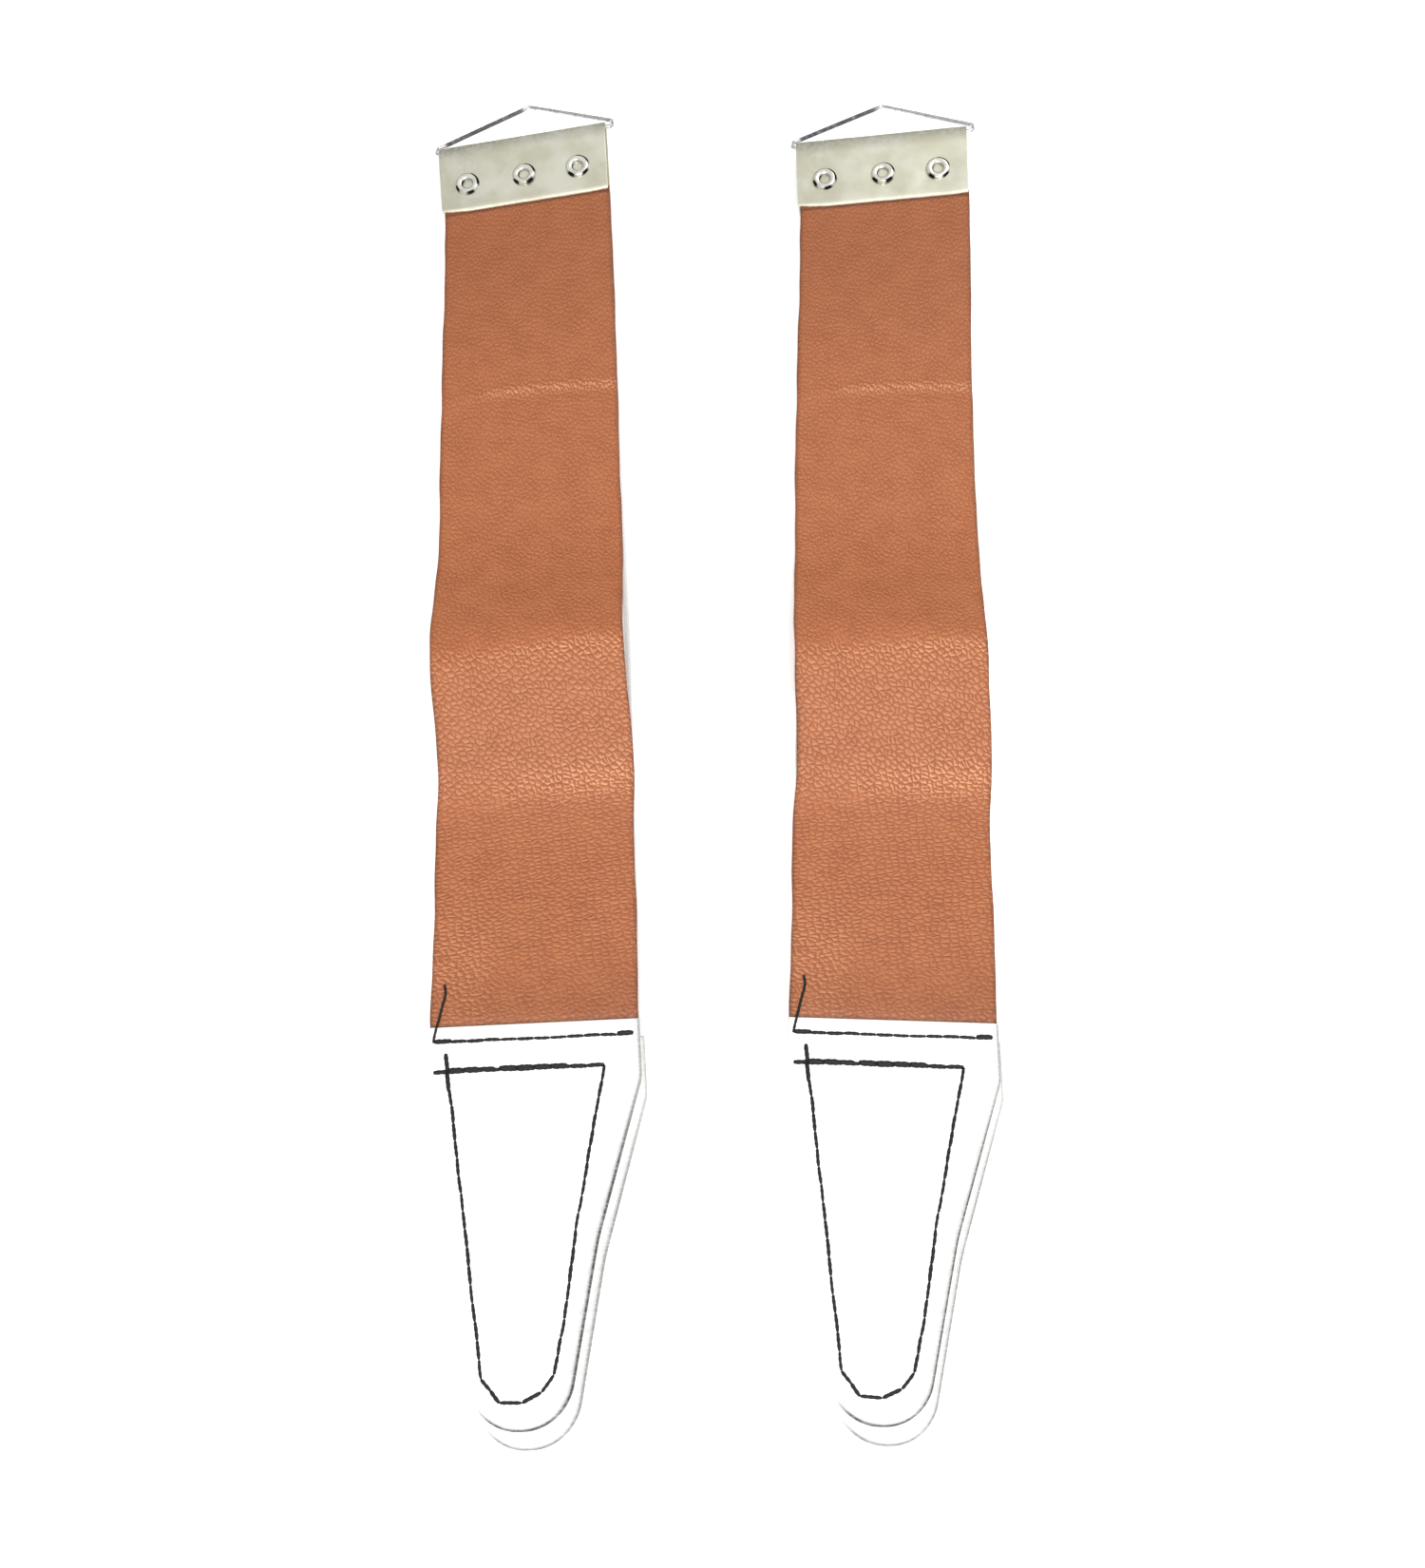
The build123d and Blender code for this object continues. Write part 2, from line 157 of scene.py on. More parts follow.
def axes_frame(across, along, origin):
    """A matrix from a frame's millimetres to the row frame's metres."""
    x = Vector(across).normalized()
    z = x.cross(Vector(along)).normalized()
    turn = Matrix((x, z.cross(x), z)).transposed().to_4x4()
    return Matrix.Translation(origin) @ turn @ Matrix.Scale(MM, 4)


def moved(points, matrix):
    """Points of any array shape through a 4x4 matrix."""
    m = np.array(matrix)
    return np.asarray(points, float) @ m[:3, :3].T + m[:3, 3]


class Strop:
    """One strop's frames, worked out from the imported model's joints and mounts."""

    def __init__(self, side):
        self.side = side
        swing = JOINTS[f"{side}_hanger_swing"]
        leather_bend = Vector(JOINTS[f"{side}_leather_clamp_bend"]["pos_m"])
        canvas_bend = Vector(JOINTS[f"{side}_canvas_clamp_bend"]["pos_m"])
        across = Vector(swing["axis"])
        along = (leather_bend - canvas_bend).cross(across)
        loop = Vector(swing["pos_m"])
        self.clamp = axes_frame(across, along, loop - along.normalized() * LOOP_V * MM)
        back = -Vector(MOUNTS[f"{side}_hook_seat"]["axis"])
        self.hanger = axes_frame(across, back, loop)
        origin = self.clamp.translation.copy()
        origin.z = 0
        up = Vector((0, 0, 1))
        flat_across = -Vector(JOINTS[f"{side}_leather_upper_fold"]["axis"])
        drift_across = Vector(JOINTS[f"{side}_canvas_upper_fold"]["axis"])
        self.flat = axes_frame(flat_across, up.cross(flat_across), origin)
        self.drift = axes_frame(drift_across, up.cross(drift_across), origin)
        self.clamp_in_flat = self.flat.inverted() @ self.clamp
        self.drift_in_flat = self.flat.inverted() @ self.drift

    def joint(self, name, place):
        """A joint's place in one of the strop's frames, in millimetres."""
        return place.inverted() @ Vector(JOINTS[f"{self.side}_{name}"]["pos_m"])

    def name(self, piece):
        return f"{self.side}_{piece}"


def smooth(t):
    t = np.clip(t, 0, 1)
    return t * t * (3 - 2 * t)


def rounded_profile(corners, v):
    """Height along v of straight runs between (v, height, reach) corners, each bend rounded."""
    places, heights, reaches = zip(*corners)
    z = np.interp(v, places, heights)
    slopes = np.diff(heights) / np.diff(places)
    for place, before, after, reach in zip(places[1:-1], slopes, slopes[1:], reaches[1:-1]):
        near = np.clip(reach - abs(v - place), 0, None)
        z = z + (after - before) * near**2 / (4 * reach)
    return z


def past(distance, reach):
    """Distance below zero, easing in over the reach on both sides of it."""
    return np.where(distance < -reach, distance, -np.clip(reach - distance, 0, None) ** 2 / (4 * reach))


def wander(x, y, size, seed=0.0):
    """Smooth noise from -1 to 1 over arrays of places, its bumps about size across."""
    flat = [noise.noise((a, b, seed)) for a, b in zip((x / size).ravel(), (y / size).ravel())]
    return np.array(flat).reshape(np.shape(x))


def hill(value, middle, reach):
    return np.exp(-(((value - middle) / reach) ** 2))


def make_mesh(name, points, faces, place, materials, kinds=None, uvs=None, values=None, sharp=50):
    """A closed mesh object from millimetre points, with materials, UVs and vertex values."""
    mesh = bpy.data.meshes.new(name)
    mesh.from_pydata(moved(points, place).tolist(), [], [list(map(int, f)) for f in faces])
    for material in materials:
        mesh.materials.append(material)
    if kinds is not None:
        mesh.polygons.foreach_set("material_index", np.asarray(kinds, np.int32))
    if uvs is not None:
        layer = mesh.uv_layers.new(name="flat_cut")
        layer.data.foreach_set("uv", (np.concatenate(uvs) * MM).astype(np.float32).ravel())
    for key, value in (values or {}).items():
        attribute = mesh.attributes.new(key, "FLOAT", "POINT")
        attribute.data.foreach_set("value", np.asarray(value, np.float32).ravel())
    edit = bmesh.new()
    edit.from_mesh(mesh)
    bmesh.ops.remove_doubles(edit, verts=edit.verts, dist=1e-8)
    bmesh.ops.recalc_face_normals(edit, faces=edit.faces)
    edit.to_mesh(mesh)
    edit.free()
    mesh.shade_smooth()
    mesh.set_sharp_from_angle(angle=math.radians(sharp))
    obj = bpy.data.objects.new(name, mesh)
    bpy.context.scene.collection.objects.link(obj)
    return obj


def lofted(rows):
    """Points and faces of closed loops joined one to the next, both ends closed."""
    count, around = rows.shape[:2]
    faces = []
    for i in range(count - 1):
        a, b = i * around, (i + 1) * around
        faces += [(a + k, a + (k + 1) % around, b + (k + 1) % around, b + k) for k in range(around)]
    faces += [tuple(range(around)), tuple(range((count - 1) * around, count * around))]
    return rows.reshape(-1, 3), faces


def joined(parts):
    """Several (points, faces) as one."""
    points, faces, start = [], [], 0
    for part_points, part_faces in parts:
        points.append(part_points)
        faces += [tuple(i + start for i in face) for face in part_faces]
        start += len(part_points)
    return np.concatenate(points), faces


def turned(profile, steps=56):
    """Points and faces of a solid of revolution about Z; the profile starts and ends on it."""
    angles = np.arange(steps) * 2 * math.pi / steps
    r, z = np.array(profile, float).T
    rows = [np.stack([r * math.cos(a), r * math.sin(a), z], 1) for a in angles]
    count = len(r)
    faces = []
    for i in range(steps):
        a, b = i * count, (i + 1) % steps * count
        for k in range(count - 1):
            quad = [a + k, a + k + 1, b + k + 1, b + k]
            if r[k] == 0:
                quad = [a, a + 1, b + 1]
            if r[k + 1] == 0:
                quad = [a + k, a + k + 1, b + k]
            faces.append(tuple(quad))
    return np.concatenate(rows), faces


def tube(path, radius, sides=8, lobes=0, lay=1.6):
    """A round or twisted thread or wire along a path of points, both ends closed."""
    path = np.array(path, float)
    runs = np.gradient(path, axis=0)
    runs /= np.linalg.norm(runs, axis=1)[:, None]
    along = np.concatenate([[0], np.cumsum(np.linalg.norm(np.diff(path, axis=0), axis=1))])
    radius = np.broadcast_to(radius, len(path))
    side = np.cross(runs[0], (0.0, 0.0, 1.0))
    if np.linalg.norm(side) < 1e-3:
        side = np.array((1.0, 0.0, 0.0))
    rows = []
    angles = np.arange(sides) * 2 * math.pi / sides
    for point, run, length, thick in zip(path, runs, along, radius):
        side = side - run * side.dot(run)
        side /= np.linalg.norm(side)
        up = np.cross(side, run)
        swell = 1 + (0.13 * np.cos(2 * angles + 2 * math.pi * length / lay) if lobes else 0 * angles)
        offset = np.outer(np.cos(angles) * swell, side) + np.outer(np.sin(angles) * swell, up)
        rows.append(point + offset * thick)
    return lofted(np.array(rows))


def filleted(points, radii, step, closed=False):
    """A polyline with rounded corners, its points about step apart."""
    points = [np.array(p, float) for p in points]
    out = [points[0]]
    for before, corner, after, radius in zip(points, points[1:], points[2:], radii):
        a, b = before - corner, after - corner
        a, b = a / np.linalg.norm(a), b / np.linalg.norm(b)
        half = math.acos(np.clip(a.dot(b), -1, 1)) / 2
        reach = radius / math.tan(half)
        centre = corner + (a + b) / np.linalg.norm(a + b) * radius / math.sin(half)
        start, end = corner + a * reach, corner + b * reach
        count = max(3, math.ceil(radius * (math.pi - 2 * half) / step))
        for t in np.linspace(0, 1, count + 1):
            ray = (start - centre) * (1 - t) + (end - centre) * t
            out.append(centre + ray / np.linalg.norm(ray) * radius)
    out.append(points[-1])
    if closed:
        out.append(points[0])
    dense = [out[0]]
    for a, b in zip(out, out[1:]):
        count = max(1, round(np.linalg.norm(b - a) / step))
        dense += [a + (b - a) * (k + 1) / count for k in range(count)]
    return np.array(dense[:-1] if closed else dense)


# ---------------------------------------------------------------- materials


def colour(red, green, blue):
    """A colour from 0-255 display values, for a shader socket."""
    linear = [((c / 255 + 0.055) / 1.055) ** 2.4 if c > 10 else c / 255 / 12.92 for c in (red, green, blue)]
    return (*linear, 1.0)


class Shader:
    """Short calls that build one material's nodes."""

    def __init__(self, name):
        self.material = bpy.data.materials.new(name)
        self.material.use_nodes = True
        self.tree = self.material.node_tree
        self.surface = self.tree.nodes["Principled BSDF"]

    def put(self, socket, value):
        if isinstance(value, bpy.types.NodeSocket):
            self.tree.links.new(value, socket)
        else:
            socket.default_value = value

    def node(self, kind, inputs=(), output=0, **settings):
        made = self.tree.nodes.new("ShaderNode" + kind)
        for key, value in settings.items():
            setattr(made, key, value)
        for key, value in dict(inputs).items():
            self.put(made.inputs[key], value)
        return made.outputs[output]

    def finish(self, **inputs):
        for key, value in inputs.items():
            self.put(self.surface.inputs[key.replace("_", " ")], value)
        return self.material

    def flat_cut(self):
        """The UVs in millimetres: across the strap, then along it."""
        uv = self.node("UVMap", uv_map="flat_cut")
        return self.scaled(uv, (1 / MM, 1 / MM, 1 / MM))

    def place(self):
        """The piece's own place, in millimetres."""
        return self.scaled(self.node("TexCoord", output=3), (1 / MM, 1 / MM, 1 / MM))

    def scaled(self, vector, scale):
        return self.node("Mapping", {"Vector": vector, "Scale": scale})

    def value(self, name):
        return self.node("Attribute", output=2, attribute_name=name)

    def math(self, operation, a, b=0.0, clamp=False):
        return self.node("Math", {0: a, 1: b}, operation=operation, use_clamp=clamp)

    def range(self, value, low, high, to_low=0.0, to_high=1.0, kind="SMOOTHSTEP"):
        inputs = {0: value, 1: low, 2: high, 3: to_low, 4: to_high}
        return self.node("MapRange", inputs, interpolation_type=kind)

    def noise(self, vector, size, detail=3.0, roughness=0.55, output=0):
        inputs = {"Vector": vector, "Scale": 1 / size, "Detail": detail, "Roughness": roughness}
        return self.node("TexNoise", inputs, output=output)

    def cells(self, vector, size, spread):
        """Distance from the edges of the cells of a loose grid."""
        inputs = {"Vector": vector, "Scale": 1 / size, "Randomness": spread}
        settings = {"voronoi_dimensions": "2D", "feature": "DISTANCE_TO_EDGE"}
        return self.node("TexVoronoi", inputs, **settings)

    def shifted(self, vector, size, reach):
        """The vector, pushed about by noise, so that patterns don't run straight."""
        push = {0: self.noise(vector, size, output=1), 1: (0.5,) * 3}
        push = self.node("VectorMath", push, operation="SUBTRACT")
        push = self.node("VectorMath", {0: push, 1: (reach,) * 3}, operation="MULTIPLY")
        return self.node("VectorMath", {0: vector, 1: push}, operation="ADD")

    def between(self, factor, a, b):
        return self.node("Mix", {0: factor, 2: a, 3: b})

    def mix(self, factor, a, b, blend="MIX"):
        inputs = {0: factor, 6: a, 7: b}
        return self.node("Mix", inputs, output=2, data_type="RGBA", blend_type=blend)

    def bump(self, height, depth, normal=None, strength=1.0):
        """Relief depth millimetres deep where height goes from 0 to 1."""
        depth = depth if isinstance(depth, bpy.types.NodeSocket) else depth * MM
        inputs = {"Height": height, "Distance": depth, "Strength": strength}
        if normal is not None:
            inputs["Normal"] = normal
        return self.node("Bump", inputs)


def grains(shader, vector, size, turn, stretch):
    """Rounded leather grains, drawn out along one direction: their height and their slope."""
    turned_cut = shader.node("Mapping", {"Vector": vector, "Rotation": (0.0, 0.0, turn)})
    warped = shader.shifted(shader.scaled(turned_cut, (stretch, 1.0, 1.0)), size * 4.0, size)
    aside = Matrix.Rotation(turn, 2) @ Vector((0.12, -0.16)) * size
    nudged = shader.node("VectorMath", {0: warped, 1: (*aside, 0.0)}, operation="ADD")
    heights = [shader.range(shader.cells(place, size, 0.85), 0.0, 0.36) for place in (warped, nudged)]
    return heights[0], shader.math("SUBTRACT", *heights)


def leather_grain():
    """Tan grain leather: coarse, fine and drawn-out grains and mottling, with painted shade in the grain
    valleys and wrinkle troughs and painted highlights on the grains' lit flanks.
    """
    s = Shader("leather_grain")
    cut = s.flat_cut()
    coarse, drawn, shade_and_tone, painted_highlight = (s.value(key) for key in ("coarse", "drawn", "shade_and_tone", "painted_highlight"))
    small = grains(s, cut, 1.25, 1.35, 0.65)
    large = grains(s, cut, 1.65, -0.75, 0.85)
    long = grains(s, cut, 1.35, 0.12, 0.6)
    grain, slope = (s.between(drawn, s.between(coarse, small[k], large[k]), long[k]) for k in (0, 1))
    fine = s.noise(cut, 0.4, 3.0)
    patches = s.noise(cut, 9.0, 4.0, 0.6)
    speckle = s.noise(cut, 2.6, 3.0, 0.6)
    waves = s.noise(s.shifted(s.scaled(cut, (0.3, 1.0, 1.0)), 5.0, 2.0), 2.4, 3.0)
    body = s.mix(s.range(patches, 0.34, 0.66), colour(150, 83, 45), colour(163, 95, 55))
    body = s.mix(s.range(speckle, 0.35, 0.65, 0.0, 0.6), body, colour(157, 89, 50))
    # Painted shade in the troughs of the drawn-out wrinkles.
    trough_shade = s.math("MULTIPLY", s.range(waves, 0.52, 0.34), s.range(drawn, 0.0, 1.0, 0.05, 0.4))
    body = s.mix(trough_shade, body, colour(134, 73, 42))
    strength = s.range(coarse, 0.0, 1.0, 0.88, 1.0, "LINEAR")
    # Painted shade in the valleys between the grains.
    valley_shade = s.math("MULTIPLY", s.range(grain, 0.6, 0.0, 0.0, 0.5), strength)
    shaded = s.math("MULTIPLY", s.range(slope, 0.02, 0.5, 0.0, 0.24), strength)
    # Painted highlight on the grains' lit flanks, taken from their slope.
    flank_highlight = s.math("MULTIPLY", s.range(slope, 0.1, -0.4, 0.0, 0.34), strength)
    body = s.mix(valley_shade, body, colour(128, 68, 38))
    body = s.mix(shaded, body, colour(132, 71, 41))
    body = s.mix(flank_highlight, body, colour(194, 123, 79))
    lit = s.math("MULTIPLY", s.range(slope, 0.1, -0.3), s.range(speckle, 0.3, 0.6, 0.45, 1.0))
    # Painted highlight on the grains' lit flanks, where the vertex value asks for it.
    highlight_mix = s.math("MULTIPLY", s.math("MULTIPLY", painted_highlight, 0.6), lit, clamp=True)
    body = s.mix(highlight_mix, body, colour(228, 168, 126))
    # Multiplied by the brightness value, which carries painted light and shade as well as the leather's own
    # tone.
    body = s.mix(1.0, body, s.node("CombineXYZ", {0: shade_and_tone, 1: shade_and_tone, 2: shade_and_tone}), "MULTIPLY")
    relief = s.bump(s.math("MULTIPLY", grain, strength), 0.15)
    relief = s.bump(waves, s.range(drawn, 0.0, 1.0, 0.1 * MM, 0.42 * MM), relief, 0.7)
    relief = s.bump(fine, 0.04, relief, 0.6)
    rough = s.range(grain, 0.0, 1.0, 0.66, 0.42, "LINEAR")
    return s.finish(Base_Color=body, Roughness=rough, Normal=relief, Specular_IOR_Level=0.4)


def leather_cut_edge():
    """The strap's cut side: darker, with the fibre layers showing."""
    s = Shader("leather_cut_edge")
    cut = s.flat_cut()
    layers = s.noise(s.scaled(cut, (2.2, 0.25, 1.0)), 0.8, 4.0)
    body = s.mix(s.range(layers, 0.35, 0.65), colour(118, 62, 38), colour(164, 96, 62))
    relief = s.bump(layers, 0.15)
    return s.finish(Base_Color=body, Roughness=0.8, Normal=relief, Specular_IOR_Level=0.2)


def leather_flesh():
    """The strap's underside: pale suede with short fibres."""
    s = Shader("leather_flesh")
    cut = s.flat_cut()
    fibres = s.noise(s.shifted(cut, 1.5, 1.2), 0.5, 5.0, 0.7)
    patches = s.noise(cut, 7.0)
    body = s.mix(s.range(fibres, 0.3, 0.7), colour(176, 132, 98), colour(206, 166, 128))
    body = s.mix(s.range(patches, 0.4, 0.7, 0.0, 0.4), body, colour(182, 126, 88))
    relief = s.bump(fibres, 0.2, strength=0.7)
    return s.finish(Base_Color=body, Roughness=0.95, Normal=relief, Sheen_Weight=0.25)


def woven(name, pitch, warp, weft, shadow, depth):
    """A plain-woven cloth: crossing rounded yarns with painted shade between them, greyed with painted
    shade where its vertex value says.
    """
    s = Shader(name)
    cut = s.shifted(s.flat_cut(), 6.0, pitch * 0.5)
    turn = math.pi / pitch
    x, y = (s.math("MULTIPLY", s.node("SeparateXYZ", {0: cut}, output=k), turn) for k in (0, 1))
    across, along = (s.math("ABSOLUTE", s.math("SINE", angle)) for angle in (x, y))
    over = s.math("MULTIPLY", s.math("SINE", x), s.math("SINE", y))
    crossing = s.range(over, -0.4, 0.4)
    lying = s.math("MULTIPLY", along, crossing)
    standing = s.math("MULTIPLY", across, s.math("SUBTRACT", 1.0, crossing))
    yarn = s.math("ADD", lying, standing)
    slubs = s.noise(s.scaled(cut, (0.3, 1.0, 1.0)), pitch * 1.7, 3.0)
    body = s.mix(crossing, warp, weft)
    body = s.mix(s.range(yarn, 0.0, 0.6, 0.6, 0.0), body, shadow)
    body = s.mix(s.range(slubs, 0.5, 0.8, 0.0, 0.35), body, warp)
    # Painted shade, grey where the vertex value says: beside the leather's edge on the canvas and round the
    # handles' rims.
    painted_shade = s.math("MULTIPLY", s.value("painted_shade"), s.range(slubs, 0.2, 0.6, 0.7, 1.0))
    body = s.mix(painted_shade, body, colour(54, 54, 57))
    relief = s.bump(yarn, depth)
    relief = s.bump(slubs, depth, relief, 0.5)
    return s.finish(Base_Color=body, Roughness=0.88, Normal=relief, Sheen_Weight=0.15,
                    Specular_IOR_Level=0.25)


def thread_black():
    """Waxed black sewing thread."""
    s = Shader("thread_black")
    place = s.place()
    fibres = s.noise(place, 0.16, 3.0)
    body = s.mix(s.range(fibres, 0.35, 0.7), colour(9, 9, 10), colour(30, 29, 29))
    relief = s.bump(fibres, 0.04)
    return s.finish(Base_Color=body, Roughness=0.6, Normal=relief, Specular_IOR_Level=0.3)


def clamp_nickel():
    """Satin nickel sheet: soft clouding, rolling lines, a painted highlight along the lip, and painted dark
    reflection over the fold and painted shade towards the left.
    """
    s = Shader("clamp_nickel")
    place = s.place()
    lip, fold = s.value("lip"), s.value("fold")
    clouds = s.noise(place, 11.0, 3.0, 0.5)
    lines = s.noise(s.scaled(place, (0.03, 1.0, 1.0)), 0.35, 3.0)
    specks = s.noise(place, 0.5, 2.0)
    ragged = s.range(s.noise(place, 1.8, 3.0), 0.35, 0.6, 0.45, 1.0)
    body = s.mix(s.range(clouds, 0.35, 0.68), colour(206, 204, 182), colour(226, 225, 208))
    body = s.mix(s.range(specks, 0.62, 0.8, 0.0, 0.3), body, colour(170, 166, 146))
    # Painted dark reflection over the fold's loop and painted shade towards the sheet's left side.
    body = s.mix(s.math("MULTIPLY", fold, ragged), body, colour(128, 126, 116))
    # Painted highlight along the lower lip, made less metallic there so that it shows.
    body = s.mix(s.math("MULTIPLY", lip, ragged), body, colour(250, 246, 222))
    rough = s.range(clouds, 0.3, 0.7, 0.44, 0.34)
    relief = s.bump(lines, 0.006)
    relief = s.bump(clouds, 0.25, relief, 0.5)
    metal = s.range(lip, 0.0, 1.0, 0.85, 0.2)
    return s.finish(Base_Color=body, Metallic=metal, Roughness=rough, Normal=relief)


def polished_metal(name, bright, dull, dark, roughness):
    """Plated metal with faint wear, darkened with painted dark reflections and shade where its vertex value
    says.
    """
    s = Shader(name)
    place = s.place()
    wear = s.noise(place, 2.2, 4.0, 0.65)
    fine = s.noise(place, 0.3, 2.0)
    # Painted dark reflections and shade, rough and not metallic so that they stay dark.
    painted_darkening = s.math("MULTIPLY", s.value("painted_darkening"), s.range(wear, 0.3, 0.5, 0.8, 1.0))
    body = s.mix(s.range(wear, 0.45, 0.72), bright, dull)
    body = s.mix(s.range(painted_darkening, 0.05, 0.75), body, dark)
    rubbed = s.range(wear, 0.4, 0.75, roughness, roughness + 0.16)
    rough = s.math("ADD", rubbed, s.math("MULTIPLY", painted_darkening, 0.4))
    relief = s.bump(fine, 0.004)
    metal = s.range(painted_darkening, 0.1, 0.7, 1.0, 0.0)
    return s.finish(Base_Color=body, Metallic=metal, Roughness=rough, Normal=relief,
                    Specular_IOR_Level=0.12)


def floor_paint():
    """A matt, almost white studio floor that glows faintly, like a lit backdrop."""
    s = Shader("floor_paint")
    place = s.place()
    patches = s.noise(place, 160.0, 3.0)
    grain = s.noise(place, 1.2, 3.0)
    body = s.mix(patches, colour(243, 243, 243), colour(247, 247, 247))
    relief = s.bump(grain, 0.02)
    return s.finish(Base_Color=body, Roughness=0.9, Normal=relief, Specular_IOR_Level=0.1,
                    Emission_Color=body, Emission_Strength=0.3)


LEATHER = (leather_grain(), leather_cut_edge(), leather_flesh())
CANVAS = woven(
    "canvas_weave", 0.62, colour(240, 240, 238), colour(232, 233, 232), colour(176, 177, 176), 0.16
)
HANDLE_CLOTH = woven(
    "handle_cloth", 0.42, colour(246, 246, 243), colour(243, 243, 239), colour(214, 214, 208), 0.06
)
THREAD = thread_black()
NICKEL = clamp_nickel()
RIVET_METAL = polished_metal(
    "rivet_nickel", colour(244, 242, 230), colour(216, 214, 198), colour(8, 7, 6), 0.14
)
WIRE_METAL = polished_metal(
    "hanger_steel", colour(222, 222, 225), colour(166, 166, 170), colour(46, 46, 50), 0.22
)


# ---------------------------------------------------------------- straps


def strap_section(left, right, thickness):
    """A strap's cross-section from the top's left corner round: across, level, region."""
    top_round, low_round = min(0.5, thickness / 3), 0.22
    half = thickness / 2
    inner = np.linspace(left + top_round, right - top_round, COLUMNS + 1)
    turns = np.radians((35, 65))
    bends = [(top_round * math.sin(a), half - top_round + top_round * math.cos(a)) for a in turns]
    points = [(u, half, 0) for u in inner]
    points += [(right - top_round + out, level, 0) for out, level in bends]
    points += [(right, half - top_round, 1), (right, 0.0, 1), (right, low_round - half, 1)]
    points.append((right - low_round * 0.3, low_round * 0.3 - half, 1))
    under = np.linspace(right - low_round, left + low_round, COLUMNS // 2 + 1)
    points += [(u, -half, 2) for u in under]
    points[-1] = (under[-1], -half, 1)
    points.append((left + low_round * 0.3, low_round * 0.3 - half, 1))
    points += [(left, low_round - half, 1), (left, 0.0, 1), (left, half - top_round, 0)]
    points += [(left + top_round - out, level, 0) for out, level in reversed(bends)]
    return points


def strap_piece(name, strap, v_from, v_to):
    """One stretch of a strap as a closed mesh, meeting its neighbours end to end."""
    count = round((v_from - v_to) / SECTION_STEP)
    extra = [v for v in strap.extra_rows if v_to < v < v_from]
    v_rows = np.array(sorted([*np.linspace(v_to, v_from, count + 1), *extra], reverse=True))
    sections = [strap_section(*strap.edges(v), strap.thickness(v)) for v in v_rows]
    u = np.array([[p[0] for p in section] for section in sections])
    level = np.array([[p[1] for p in section] for section in sections])
    region = [p[2] for p in sections[0]]
    v = np.repeat(v_rows[:, None], u.shape[1], 1)
    step = 0.4
    run_u = strap.middle(u + step, v) - strap.middle(u - step, v)
    run_v = strap.middle(u, v + step) - strap.middle(u, v - step)
    normal = np.cross(run_u, run_v)
    normal /= np.linalg.norm(normal, axis=2)[:, :, None]
    lift = level + np.where(level > 0, strap.relief(u, v), 0)
    rows = strap.middle(u, v) + normal * lift[:, :, None]
    points, faces = lofted(rows)
    along = strap.length(v)
    around = u.shape[1]
    kinds, uvs = [], []
    for i in range(len(v_rows) - 1):
        for k in range(around):
            m = (k + 1) % around
            side = region[k] == 1
            corners = ((i, k), (i, m), (i + 1, m), (i + 1, k))
            uvs.append(np.array([(level[c] + 100 if side else u[c], along[c]) for c in corners]))
            kinds.append(min(region[k], len(strap.materials) - 1))
    for i in (0, len(v_rows) - 1):
        kinds.append(min(1, len(strap.materials) - 1))
        uvs.append(np.stack([u[i], 200 + level[i]], 1))
    return make_mesh(name, points, faces, strap.place, strap.materials, kinds, uvs, strap.values(u, v))


